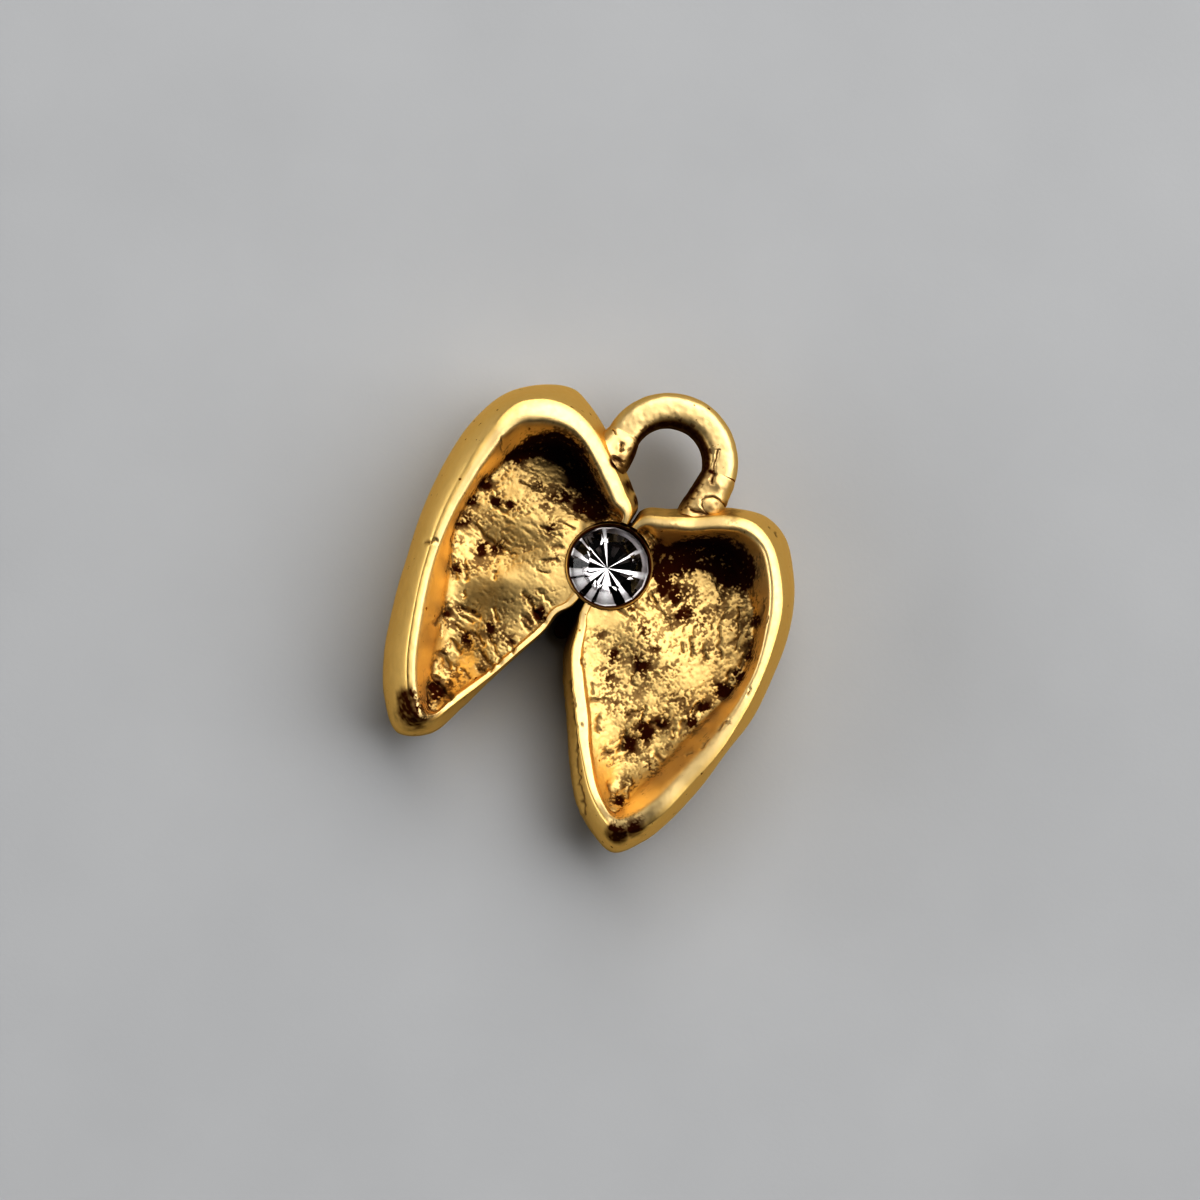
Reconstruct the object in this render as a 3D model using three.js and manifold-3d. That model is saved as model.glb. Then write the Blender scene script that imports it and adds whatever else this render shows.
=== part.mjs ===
// Angel wings charm: two hollow-fronted wings side by side, a foiled crystal set where they meet,
// and a wire loop soldered across their tops. Millimetres, +Z up, the charm lying on its back.
// Plan places are measured from the crystal's axis, +Y towards the loop; heights from the surface.

import * as THREE from "three";
import { mergeVertices } from "three/addons/utils/BufferGeometryUtils.js";
import { ConvexGeometry } from "three/addons/geometries/ConvexGeometry.js";
import Module from "manifold-3d";

const wasm = await Module();
wasm.setup();

// Driving dimensions of the crystal and its seat
const STONE_DIAMETER = 3.16;
const STONE_CROWN = 0.5;
const STONE_GIRDLE = 0.08;
const STONE_PAVILION = 1.35;
const TABLE_SHARE = 0.6;
const STONE_PLAY = 0.09;
const COLLAR_WALL = 0.13;
const COLLAR_HEIGHT = 3.2;
const STONE_SINK = 0.12;
const SEAT_FLOOR = 0.7;
const FOIL_THICKNESS = 0.05;
const GLUE_LINE = 0.02;
const CEMENT_SINK = 0.15;
const EDGE_BREAK = 0.05;

// Driving dimensions of the web under the seam
const WEB_WIDTH = 0.7;
const WEB_BOTTOM = 0.2;
const WEB_TOP = 1.0;
const WEB_TOP_END = [-0.12, 2.0];
const WEB_CROTCH_END = [-0.25, -2.9];

// Driving dimensions of the hanging loop and its two solder joints
const LOOP_CENTRE = [-0.1, 5.02, 2.9];
const LOOP_EYE_RADIUS = 1.42;
const LOOP_WIRE_WIDTH = 1.42;
const LOOP_WIRE_DEPTH = 1.8;
const LOOP_RIGHT_END_DEGREES = 14;
const LOOP_LEFT_END_DEGREES = 181;
const SOLDER_SPREAD = 0.3;
const LEFT_SOLDER_FOOT = [-2.3, 4.05, 2.8];
const RIGHT_SOLDER_FOOT = [2.0, 3.8, 2.8];

// Driving dimensions of the wings
const WINGS_WIDTH = 16.3;
const WINGS_LENGTH = 15.95;
const WINGS_DEPTH = 5.0;
const BACK_FLAT = 0.12;
const BACK_FULLNESS = 2.5;
const SLOPE_EASE = 1.15;
const SKIRT_HEIGHT = 0.5;
const SKIRT_REACH = 2.35;
const JOINT_GAP = 0.05;
const SEAM_GAP = 0.1;
const SEAM_TOP = [-0.08, 4.0];
const SEAM_BOTTOM = [-0.32, -4.0];

// Each station gives the widest line, the rim's shoulder and the foot of its inner wall as [x, y, z],
// then how wide the rim's land is, how the outer wall bends (1 is a quarter round, 2 is straight)
// and how steeply the land rises to its inner edge, whose height is the one given with the shoulder
const LEFT_WING = [
  [[-0.2, 2.8, 2.2], [-0.35, 2.2, 3.7], [-0.6, 1.9, 3.0], [0.3, 1.2, 0.2]],
  [[-0.95, 3.55, 2.2], [-1.05, 2.85, 4.0], [-1.45, 2.0, 2.75], [0.65, 1.5, 0.2]],
  [[-2.1, 4.35, 2.2], [-2.1, 3.55, 4.3], [-2.4, 2.6, 2.1], [0.72, 1.6, 0.2]],
  [[-3.2, 5.05, 2.2], [-3.2, 4.2, 4.6], [-3.15, 3.05, 1.8], [0.85, 1.7, 0.2]],
  [[-4.15, 5.5, 2.2], [-4.15, 4.5, 4.8], [-3.85, 3.25, 1.75], [0.9, 1.8, 0.2]],
  [[-5.0, 5.7, 2.2], [-5.05, 4.5, 4.9], [-4.5, 3.1, 1.8], [0.95, 1.8, 0.2]],
  [[-6.1, 5.25, 2.2], [-5.95, 4.15, 5.0], [-5.15, 2.65, 1.9], [0.95, 1.7, 0.2]],
  [[-7.25, 4.15, 2.2], [-6.7, 3.4, 5.0], [-5.65, 2.05, 2.1], [0.85, 1.5, 0.15]],
  [[-7.85, 2.6, 2.2], [-6.95, 2.05, 5.0], [-5.98, 1.3, 2.2], [0.65, 1.3, 0.05]],
  [[-8.0, 0.7, 2.2], [-7.0, 0.05, 4.95], [-6.25, 0.05, 2.3], [0.48, 1.2, -0.1]],
  [[-7.8, -1.55, 2.2], [-6.85, -2.15, 4.92], [-6.25, -1.85, 2.4], [0.42, 1.2, -0.15]],
  [[-7.35, -3.65, 2.2], [-6.45, -4.15, 4.9], [-5.5, -3.55, 2.6], [0.36, 1.3, -0.15]],
  [[-6.8, -5.7, 2.2], [-5.8, -6.1, 4.9], [-4.75, -5.45, 2.7], [0.36, 1.4, -0.15]],
  [[-6.05, -7.75, 2.2], [-4.95, -8.0, 4.8], [-4.1, -7.25, 2.9], [0.36, 1.4, -0.15]],
  [[-5.1, -9.3, 2.1], [-4.15, -9.1, 4.6], [-3.6, -8.4, 3.1], [0.36, 1.4, -0.15]],
  [[-3.9, -10.25, 2.0], [-3.5, -9.6, 4.4], [-3.25, -8.9, 3.3], [0.36, 1.3, -0.15]],
  [[-2.7, -9.55, 1.8], [-3.0, -9.3, 4.0], [-2.95, -8.75, 3.3], [0.3, 1.2, -0.1]],
  [[-2.15, -7.95, 1.5], [-2.5, -8.1, 3.6], [-2.75, -7.9, 3.2], [0.2, 1.2, 0]],
  [[-1.7, -6.3, 1.4], [-1.85, -6.5, 3.4], [-2.1, -6.35, 3.1], [0.2, 1.2, 0]],
  [[-1.2, -4.6, 1.4], [-1.3, -4.8, 3.3], [-1.55, -4.7, 3.1], [0.2, 1.2, 0]],
  [[-0.85, -3.45, 1.4], [-0.95, -3.65, 3.2], [-1.2, -3.5, 3.05], [0.2, 1.2, 0]],
  [[-0.7, -2.6, 1.4], [-0.88, -2.85, 3.2], [-1.1, -2.7, 3.05], [0.2, 1.2, 0]],
  [[-0.35, -2.05, 1.4], [-0.5, -2.2, 3.2], [-0.8, -2.15, 3.1], [0.2, 1.2, 0]],
  [[-0.25, 0.4, 1.4], [-0.38, 0.15, 3.3], [-0.8, 0.15, 3.1], [0.2, 1.2, 0]],
];
const LEFT_DISH_MIDDLE = [-4.1, -1.2];

const RIGHT_WING = [
  [[0.0, 2.85, 2.2], [0.12, 2.25, 3.7], [0.35, 1.95, 3.0], [0.3, 1.2, 0.2]],
  [[0.95, 3.5, 2.2], [1.0, 2.85, 4.0], [1.4, 1.95, 2.75], [0.45, 1.5, 0.2]],
  [[2.05, 4.2, 2.2], [2.05, 3.45, 4.2], [2.3, 2.55, 2.0], [0.6, 1.6, 0.2]],
  [[3.2, 4.9, 2.2], [3.1, 4.15, 4.5], [3.1, 3.05, 1.7], [0.7, 1.7, 0.2]],
  [[4.5, 5.3, 2.2], [4.15, 4.4, 4.7], [4.0, 3.2, 1.65], [0.6, 1.8, 0.2]],
  [[5.6, 5.0, 2.2], [5.15, 4.05, 4.8], [4.8, 2.9, 1.8], [0.5, 1.8, 0.2]],
  [[6.6, 4.0, 2.2], [6.05, 3.2, 4.85], [5.3, 2.4, 1.95], [0.5, 1.7, 0.2]],
  [[7.4, 2.7, 2.2], [6.85, 2.0, 4.9], [6.05, 1.65, 2.15], [0.55, 1.6, 0.15]],
  [[7.9, 1.2, 2.2], [7.3, 0.7, 4.9], [6.6, 0.75, 2.2], [0.55, 1.6, 0.12]],
  [[8.2, -0.65, 2.2], [7.65, -1.05, 4.9], [7.0, -0.65, 2.2], [0.55, 1.6, 0.1]],
  [[8.3, -2.25, 2.2], [7.75, -2.75, 4.9], [6.9, -2.25, 2.3], [0.55, 1.6, 0.05]],
  [[8.1, -3.95, 2.2], [7.7, -4.4, 4.9], [6.45, -3.85, 2.5], [0.6, 1.6, 0.05]],
  [[7.9, -5.85, 2.2], [7.35, -6.15, 4.85], [6.1, -5.65, 2.7], [0.6, 1.5, 0.05]],
  [[7.5, -7.65, 2.2], [6.95, -7.85, 4.8], [5.7, -7.15, 2.9], [0.6, 1.4, 0]],
  [[7.05, -8.85, 2.1], [6.45, -8.85, 4.6], [5.5, -8.1, 3.1], [0.6, 1.4, 0]],
  [[6.2, -9.9, 2.0], [5.8, -9.3, 4.4], [5.3, -8.6, 3.3], [0.5, 1.3, -0.1]],
  [[5.1, -9.65, 1.8], [5.2, -9.15, 4.1], [4.95, -8.55, 3.3], [0.4, 1.2, -0.15]],
  [[3.85, -8.85, 1.5], [4.1, -8.45, 3.7], [4.3, -8.05, 3.2], [0.3, 1.2, -0.15]],
  [[2.7, -7.45, 1.4], [2.95, -7.25, 3.5], [3.3, -6.9, 3.1], [0.35, 1.2, -0.15]],
  [[1.75, -6.05, 1.4], [1.95, -6.05, 3.4], [2.5, -5.7, 3.1], [0.5, 1.2, -0.15]],
  [[0.85, -4.8, 1.4], [1.1, -4.85, 3.35], [1.6, -4.55, 3.1], [0.45, 1.2, -0.15]],
  [[0.25, -3.8, 1.4], [0.5, -3.85, 3.3], [0.9, -3.6, 3.1], [0.35, 1.2, -0.1]],
  [[-0.05, -2.75, 1.4], [0.2, -2.8, 3.2], [0.55, -2.7, 3.1], [0.25, 1.2, 0]],
  [[-0.15, -2.05, 1.4], [-0.02, -2.25, 3.2], [0.25, -2.15, 3.1], [0.25, 1.2, 0]],
  [[-0.15, 0.4, 1.4], [-0.02, 0.15, 3.3], [0.3, 0.15, 3.1], [0.25, 1.2, 0]],
];
const RIGHT_DISH_MIDDLE = [4.4, -1.2];

// Heights of the hollows and humps inside each dish, as [x, y, z]
const LEFT_SPOTS = [
  [-5.0, 0.5, 2.35], [-4.0, 1.2, 2.4], [-3.0, 0.8, 2.7], [-2.4, 0.3, 3.03], [-1.9, 0.1, 3.02],
  [-5.3, -1.0, 2.35], [-4.0, -0.5, 2.6], [-2.8, -0.8, 2.9], [-2.4, -0.9, 3.08], [-1.85, -1.0, 3.06],
  [-4.8, -1.8, 2.3], [-3.6, -1.9, 2.65], [-2.3, -2.1, 3.1], [-3.3, -2.6, 2.95],
  [-4.4, -3.0, 2.65], [-2.0, -3.2, 3.0], [-2.6, -4.0, 2.85], [-3.6, -4.2, 2.6], [-4.5, -4.3, 2.5],
  [-4.3, -5.0, 2.45], [-4.0, -5.9, 2.4], [-3.2, -5.4, 2.65], [-2.4, -5.6, 2.95], [-2.6, -6.4, 2.85],
  [-3.5, -7.0, 2.45], [-3.3, -8.0, 2.6], [-2.9, -7.4, 2.85],
];
const RIGHT_SPOTS = [
  [2.1, 0.6, 2.35], [2.2, -0.3, 2.5], [1.6, 1.5, 2.4], [3.0, 0.5, 2.25], [4.0, 0.8, 2.1], [5.0, 0.5, 2.15],
  [6.0, 0.2, 2.2], [3.5, -0.8, 2.55], [5.0, -1.0, 2.35], [6.0, -1.5, 2.3], [2.2, -1.5, 2.95],
  [3.0, -1.6, 2.85], [4.5, -2.0, 2.6], [2.0, -2.5, 2.9], [3.0, -3.3, 2.75], [4.5, -3.2, 2.6],
  [5.6, -3.4, 2.45], [1.8, -3.8, 2.95], [3.0, -4.6, 2.8], [4.4, -4.8, 2.6], [5.6, -5.0, 2.35],
  [3.6, -6.0, 2.75], [5.2, -6.2, 2.4], [4.2, -7.0, 2.65], [5.0, -7.4, 2.45], [4.9, -8.0, 2.7],
];

// Fineness of the facets
const AROUND_WING = 110;
const BACK_RINGS = 6;
const WALL_RINGS = 6;
const LAND_RINGS = 2;
const SLOPE_RINGS = 4;
const DISH_RINGS = 9;
const PINS_APART = 3;
const AROUND_SEAT = 48;
const AROUND_STONE = 16;
const ALONG_LOOP = 36;
const AROUND_WIRE = 20;
const ALONG_SOLDER = 6;
const AROUND_BAR_END = 8;

// Corners closer than this are one corner, and this far is past every solid
const MERGE = 1e-4;
const REACH = 20;

// The land takes at most this share of the way from the shoulder to the foot
const MOST_LAND = 0.85;

// Every place is stretched with the wings, from the size their stations are drawn at
const stations = [...LEFT_WING, ...RIGHT_WING].flatMap((station) => station.slice(0, 3));
const drawn = new THREE.Box3().setFromPoints(stations.map((place) => new THREE.Vector3(...place)));
const stretch = new THREE.Vector3(
  WINGS_WIDTH / (drawn.max.x - drawn.min.x),
  WINGS_LENGTH / (drawn.max.y - drawn.min.y),
  WINGS_DEPTH / drawn.max.z,
);
const placed = ([x, y, z = 0]) => new THREE.Vector3(x, y, z).multiply(stretch);

// Sizes that follow from the driving dimensions
const stoneRadius = STONE_DIAMETER / 2;
const boreRadius = stoneRadius + STONE_PLAY;
const seatRadius = boreRadius + COLLAR_WALL;
const girdleTop = COLLAR_HEIGHT - STONE_SINK;
const girdleBottom = girdleTop - STONE_GIRDLE;
const culet = girdleBottom - STONE_PAVILION;
const loopRadius = LOOP_EYE_RADIUS + LOOP_WIRE_WIDTH / 2;

// Heights of the cones under the crystal, which are parallel to its pavilion
const slope = STONE_PAVILION / stoneRadius;
const along = Math.hypot(1, slope);
const foilInner = culet - GLUE_LINE * along;
const foilOuter = foilInner - FOIL_THICKNESS * along;
const foilTop = girdleBottom - GLUE_LINE * along;
const cementTip = foilOuter - GLUE_LINE * along;

// Finishes
const finish = (name, color, roughness, metalness) =>
  Object.assign(new THREE.MeshStandardMaterial({ color, roughness, metalness }), { name });
const antiqueGold = () => finish("antique_gold_plate", 0xd9a441, 0.28, 1);
const platedSolder = () => finish("gold_plated_solder", 0xd2a350, 0.4, 1);
const crystal = () => finish("clear_crystal", 0xeef2f5, 0.03, 0);
const silverFoil = () => finish("silver_foil", 0xc9ccd0, 0.15, 1);
const cement = () => finish("clear_jewellery_cement", 0xc8b98a, 0.5, 0);

// Turns a closed three.js geometry into a solid, and back
function solidFrom(geometry) {
  const bare = geometry.clone();
  bare.deleteAttribute("normal");
  bare.deleteAttribute("uv");
  const merged = mergeVertices(bare, MERGE);
  const vertProperties = new Float32Array(merged.attributes.position.array);
  const triVerts = new Uint32Array(merged.index.array);
  return new wasm.Manifold(new wasm.Mesh({ numProp: 3, vertProperties, triVerts }));
}

function geometryFrom(solid) {
  const mesh = solid.getMesh();
  const geometry = new THREE.BufferGeometry();
  geometry.setAttribute("position", new THREE.BufferAttribute(mesh.vertProperties, 3));
  geometry.setIndex(new THREE.BufferAttribute(mesh.triVerts, 1));
  geometry.computeVertexNormals();
  return geometry;
}

// A closed skin over rings of equal count, with a fan to a point at each end
function skin(startPoint, rings, endPoint) {
  const count = rings[0].length;
  const points = [startPoint, ...rings.flat(), endPoint];
  const at = (ring, i) => 1 + ring * count + (i % count);
  const faces = [];
  for (let i = 0; i < count; i++) {
    faces.push(0, at(0, i + 1), at(0, i));
    faces.push(points.length - 1, at(rings.length - 1, i), at(rings.length - 1, i + 1));
    for (let ring = 0; ring + 1 < rings.length; ring++) {
      faces.push(at(ring, i), at(ring, i + 1), at(ring + 1, i + 1));
      faces.push(at(ring, i), at(ring + 1, i + 1), at(ring + 1, i));
    }
  }
  const geometry = new THREE.BufferGeometry().setFromPoints(points);
  geometry.setIndex(faces);
  return geometry;
}

// The same skin pushed outwards everywhere, which leaves a gap when it cuts a neighbour
function grown(geometry, by) {
  const wider = geometry.clone();
  wider.computeVertexNormals();
  const place = new THREE.Vector3();
  const outward = new THREE.Vector3();
  for (let i = 0; i < wider.attributes.position.count; i++) {
    place.fromBufferAttribute(wider.attributes.position, i);
    outward.fromBufferAttribute(wider.attributes.normal, i);
    place.addScaledVector(outward, by);
    wider.attributes.position.setXYZ(i, place.x, place.y, place.z);
  }
  return wider;
}

const mix = (a, b, share) => a + (b - a) * share;

const between = (a, b, share) => new THREE.Vector3(mix(a.x, b.x, share), mix(a.y, b.y, share), 0);

// Heights of a thin springy sheet that is pinned at the given places
function stretchedSheet(pins) {
  const pull = (a, b) => {
    const square = (a.x - b.x) ** 2 + (a.y - b.y) ** 2 + 1e-9;
    return square * Math.log(square);
  };
  const size = pins.length + 3;
  const rows = pins.map((pin) => [...pins.map((other) => pull(pin, other)), 1, pin.x, pin.y, pin.z]);
  rows.push([...pins.map(() => 1), 0, 0, 0, 0]);
  rows.push([...pins.map((pin) => pin.x), 0, 0, 0, 0]);
  rows.push([...pins.map((pin) => pin.y), 0, 0, 0, 0]);
  for (let step = 0; step < size; step++) {
    let pivot = step;
    for (let i = step + 1; i < size; i++) {
      if (Math.abs(rows[i][step]) > Math.abs(rows[pivot][step])) pivot = i;
    }
    [rows[step], rows[pivot]] = [rows[pivot], rows[step]];
    for (let i = 0; i < size; i++) {
      if (i === step) continue;
      const share = rows[i][step] / rows[step][step];
      for (let j = step; j <= size; j++) rows[i][j] -= share * rows[step][j];
    }
  }
  const weights = rows.map((row, i) => row[size] / row[i]);
  return (place) => {
    const bent = pins.reduce((sum, pin, i) => sum + weights[i] * pull(place, pin), 0);
    return bent + weights[size - 3] + weights[size - 2] * place.x + weights[size - 1] * place.y;
  };
}

// How far the dish is lifted as a skirt round the upper side of the seat
function skirtLift(place) {
  const away = Math.hypot(place.x, place.y);
  const near = 1 - THREE.MathUtils.smoothstep(away, seatRadius, SKIRT_REACH);
  return SKIRT_HEIGHT * near * THREE.MathUtils.smoothstep(place.y / away, 0.35, 0.85);
}

// One wing: a full, worn-flat back, an outer wall, a rim with its land, an inner wall and a dished front
function wingSkin(stations, dishMiddle, spots, clockwise) {
  const [edge, crest, foot] = [0, 1, 2].map((part) => {
    const places = stations.map((station) => placed(station[part]));
    return new THREE.CatmullRomCurve3(places, true, "centripetal");
  });
  const around = Array.from({ length: AROUND_WING }, (_, i) => {
    const share = (clockwise ? AROUND_WING - i : i) % AROUND_WING;
    const turn = edge.getUtoTmapping(share / AROUND_WING);
    const cell = Math.floor(turn * stations.length) % stations.length;
    const blend = THREE.MathUtils.smoothstep(turn * stations.length - cell, 0, 1);
    const next = stations[(cell + 1) % stations.length][3];
    const [land, bend, tilt] = stations[cell][3].map((value, k) => mix(value, next[k], blend));
    const section = { edge: edge.getPoint(turn), crest: crest.getPoint(turn), foot: foot.getPoint(turn) };
    const plan = Math.hypot(section.foot.x - section.crest.x, section.foot.y - section.crest.y);
    const shoulder = section.crest.z - tilt * land;
    return { ...section, shoulder, bend, land: Math.min(land / plan, MOST_LAND) };
  });
  const back = placed(dishMiddle);
  const rings = [];
  for (let i = 1; i <= BACK_RINGS; i++) {
    const out = Math.sin((i / BACK_RINGS) * (Math.PI / 2));
    const rise = 1 - (1 - out ** BACK_FULLNESS) ** (1 / BACK_FULLNESS);
    rings.push(around.map(({ edge }) =>
      between(back, edge, out).setZ(Math.max(0, mix(-BACK_FLAT, edge.z, rise)))));
  }
  for (let i = 1; i <= WALL_RINGS; i++) {
    const turn = (i / WALL_RINGS) * (Math.PI / 2);
    rings.push(around.map(({ edge, crest, shoulder, bend }) =>
      between(edge, crest, 1 - Math.max(0, Math.cos(turn)) ** bend)
        .setZ(mix(edge.z, shoulder, Math.sin(turn) ** bend))));
  }
  for (let i = 1; i <= LAND_RINGS; i++) {
    const over = i / LAND_RINGS;
    rings.push(around.map(({ crest, foot, shoulder, land }) =>
      between(crest, foot, land * over).setZ(mix(shoulder, crest.z, over))));
  }
  for (let i = 1; i <= SLOPE_RINGS; i++) {
    const down = i / SLOPE_RINGS;
    rings.push(around.map(({ crest, foot, land }) =>
      between(crest, foot, mix(land, 1, down)).setZ(mix(crest.z, foot.z, down ** SLOPE_EASE))));
  }
  const pins = around.filter((_, i) => i % PINS_APART === 0).map(({ foot }) => foot);
  const sheet = stretchedSheet([...pins, ...spots.map(placed)]);
  const onDish = (place) => place.setZ(sheet(place) + skirtLift(place));
  for (let i = 1; i < DISH_RINGS; i++) {
    rings.push(around.map(({ foot }) => onDish(between(foot, back, i / DISH_RINGS))));
  }
  return skin(back, rings, onDish(back.clone()));
}

// A round-ended bar lying in plan between two points
function bar(start, end, width, bottom, top) {
  const [from, to] = [placed(start), placed(end)];
  const heading = Math.atan2(to.y - from.y, to.x - from.x);
  const outline = new THREE.Shape();
  outline.absarc(to.x, to.y, width / 2, heading - Math.PI / 2, heading + Math.PI / 2, false);
  outline.absarc(from.x, from.y, width / 2, heading + Math.PI / 2, heading + (3 * Math.PI) / 2, false);
  const solid = { depth: top - bottom, bevelEnabled: false, curveSegments: AROUND_BAR_END };
  return new THREE.ExtrudeGeometry(outline, solid).translate(0, 0, bottom);
}

const webBar = (extra) =>
  bar(WEB_CROTCH_END, WEB_TOP_END, WEB_WIDTH + 2 * extra, WEB_BOTTOM - extra, WEB_TOP + extra);

// A turned solid from a profile of [radius, height] pairs
function turned(profile, around) {
  const points = profile.map(([radius, height]) => new THREE.Vector2(radius, height));
  return new THREE.LatheGeometry(points, around).rotateX(Math.PI / 2);
}

// The cup that holds the crystal, with the web that ties the wings along the seam
function seatSolid() {
  const cup = turned([
    [0, 0],
    [seatRadius - EDGE_BREAK, 0],
    [seatRadius, EDGE_BREAK],
    [seatRadius, COLLAR_HEIGHT - EDGE_BREAK],
    [seatRadius - EDGE_BREAK, COLLAR_HEIGHT],
    [boreRadius, COLLAR_HEIGHT],
    [boreRadius, SEAT_FLOOR],
    [0, SEAT_FLOOR],
  ], AROUND_SEAT);
  const bore = turned([
    [0, SEAT_FLOOR],
    [boreRadius, SEAT_FLOOR],
    [boreRadius, REACH],
    [0, REACH],
  ], AROUND_SEAT);
  return solidFrom(cup).add(solidFrom(webBar(0)).subtract(solidFrom(bore)));
}

// The room that the seat and the seam take out of the wings
function seatEnvelope() {
  const post = turned([
    [0, -REACH],
    [seatRadius + JOINT_GAP, -REACH],
    [seatRadius + JOINT_GAP, REACH],
    [0, REACH],
  ], AROUND_SEAT);
  const seam = bar(SEAM_BOTTOM, SEAM_TOP, SEAM_GAP, -REACH, REACH);
  return solidFrom(post).add(solidFrom(webBar(JOINT_GAP))).add(solidFrom(seam));
}

// The crystal: a flat table, a crown of kites and triangles, and a pointed pavilion
function stoneGeometry() {
  const ring = (count, radius, height, offset) =>
    Array.from({ length: count }, (_, i) => {
      const angle = ((i + offset) / count) * 2 * Math.PI;
      return new THREE.Vector3(radius * Math.cos(angle), radius * Math.sin(angle), height);
    });
  return new ConvexGeometry([
    new THREE.Vector3(0, 0, culet),
    ...ring(AROUND_STONE, stoneRadius, girdleBottom, 0),
    ...ring(AROUND_STONE, stoneRadius, girdleTop, 0),
    ...ring(AROUND_STONE / 2, stoneRadius * TABLE_SHARE, girdleTop + STONE_CROWN, 0),
  ]);
}

// A thin silver cone that lines the pavilion, open towards the crystal
function foilGeometry() {
  return turned([
    [0, foilOuter],
    [(foilTop - foilOuter) / slope, foilTop],
    [(foilTop - foilInner) / slope, foilTop],
    [0, foilInner],
  ], AROUND_STONE);
}

// The cement that fills the cup round the foil
function cementGeometry() {
  const wall = boreRadius * Math.cos(Math.PI / AROUND_SEAT) - GLUE_LINE;
  const top = girdleBottom - CEMENT_SINK;
  return turned([
    [0, SEAT_FLOOR + GLUE_LINE],
    [wall, SEAT_FLOOR + GLUE_LINE],
    [wall, top],
    [(top - cementTip) / slope, top],
    [0, cementTip],
  ], AROUND_SEAT);
}

// The loop's centre line, from its right end over the top to its left end
class LoopLine extends THREE.Curve {
  getPoint(share, target = new THREE.Vector3()) {
    const degrees = mix(LOOP_RIGHT_END_DEGREES, LOOP_LEFT_END_DEGREES, share);
    const angle = THREE.MathUtils.degToRad(degrees);
    target.set(loopRadius * Math.cos(angle), loopRadius * Math.sin(angle), 0);
    return target.add(placed(LOOP_CENTRE));
  }
}

function loopGeometry() {
  const section = new THREE.Shape();
  section.absellipse(0, 0, LOOP_WIRE_DEPTH / 2, LOOP_WIRE_WIDTH / 2, 0, 2 * Math.PI);
  return new THREE.ExtrudeGeometry(section, {
    steps: ALONG_LOOP,
    curveSegments: AROUND_WIRE / 2,
    extrudePath: new LoopLine(),
  });
}

// A solder joint: wire-sized where it meets the loop, spreading where it runs square onto a wing's edge
function solderGeometry(loopShare, foot, wing) {
  const line = new LoopLine();
  const end = line.getPoint(loopShare);
  const leave = line.getTangent(loopShare).multiplyScalar(loopShare === 0 ? -1 : 1);
  const start = end.clone().addScaledVector(leave, JOINT_GAP);
  const stop = placed(foot);
  const edges = wing.map(([edge]) => placed(edge)).sort((a, b) => a.distanceTo(stop) - b.distanceTo(stop));
  const square = edges[1].sub(edges[0]).cross(new THREE.Vector3(0, 0, 1)).normalize();
  square.multiplyScalar(Math.sign(square.dot(stop.clone().sub(start))));
  const third = start.distanceTo(stop) / 3;
  const onward = start.clone().addScaledVector(leave, third);
  const inward = stop.clone().addScaledVector(square, -third);
  const route = new THREE.CubicBezierCurve3(start, onward, inward, stop);
  const rings = Array.from({ length: ALONG_SOLDER + 1 }, (_, i) => {
    const share = i / ALONG_SOLDER;
    const centre = route.getPoint(share);
    const across = new THREE.Vector3(0, 0, 1).cross(route.getTangent(share)).normalize();
    const spread = SOLDER_SPREAD * share * share;
    const width = LOOP_WIRE_WIDTH / 2 + spread;
    const depth = LOOP_WIRE_DEPTH / 2 + spread;
    return Array.from({ length: AROUND_WIRE }, (_, k) => {
      const angle = (k / AROUND_WIRE) * 2 * Math.PI;
      const point = centre.clone().addScaledVector(across, width * Math.cos(angle));
      return point.setZ(centre.z + depth * Math.sin(angle));
    });
  });
  return skin(start, rings, stop);
}

function named(name, geometry, material) {
  const mesh = new THREE.Mesh(geometry, material);
  mesh.name = name;
  return mesh;
}

// The assembly
const leftSkin = wingSkin(LEFT_WING, LEFT_DISH_MIDDLE, LEFT_SPOTS, false);
const rightSkin = wingSkin(RIGHT_WING, RIGHT_DISH_MIDDLE, RIGHT_SPOTS, true);
const seatRoom = seatEnvelope();
const bothWingsRoom = solidFrom(grown(leftSkin, JOINT_GAP)).add(solidFrom(grown(rightSkin, JOINT_GAP)));
const solder = (loopShare, foot, wing) =>
  geometryFrom(solidFrom(solderGeometry(loopShare, foot, wing)).subtract(bothWingsRoom));

const charm = new THREE.Group();
charm.add(
  named("left_wing", geometryFrom(solidFrom(leftSkin).subtract(seatRoom)), antiqueGold()),
  named("right_wing", geometryFrom(solidFrom(rightSkin).subtract(seatRoom)), antiqueGold()),
  named("stone_seat", geometryFrom(seatSolid()), antiqueGold()),
  named("hanging_loop", loopGeometry(), antiqueGold()),
  named("left_loop_solder", solder(1, LEFT_SOLDER_FOOT, LEFT_WING), platedSolder()),
  named("right_loop_solder", solder(0, RIGHT_SOLDER_FOOT, RIGHT_WING), platedSolder()),
  named("crystal_stone", stoneGeometry(), crystal()),
  named("stone_foil", foilGeometry(), silverFoil()),
  named("stone_cement", cementGeometry(), cement()),
);

// The origin is on the surface, under the middle of the whole charm
const span = new THREE.Box3().setFromObject(charm);
const middle = span.getCenter(new THREE.Vector3());
charm.position.set(-middle.x, -middle.y, -span.min.z);

export default charm;
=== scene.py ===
# Angel wings charm, cast and antique gold plated, lying on its back on pale paper.
# The CAD frame gives every place; sizes below are in millimetres, measured from the crystal's axis.

import math

import bmesh
import bpy
import numpy as np
from mathutils import Matrix, Vector
from mathutils.geometry import delaunay_2d_cdt
from mathutils.kdtree import KDTree


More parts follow.
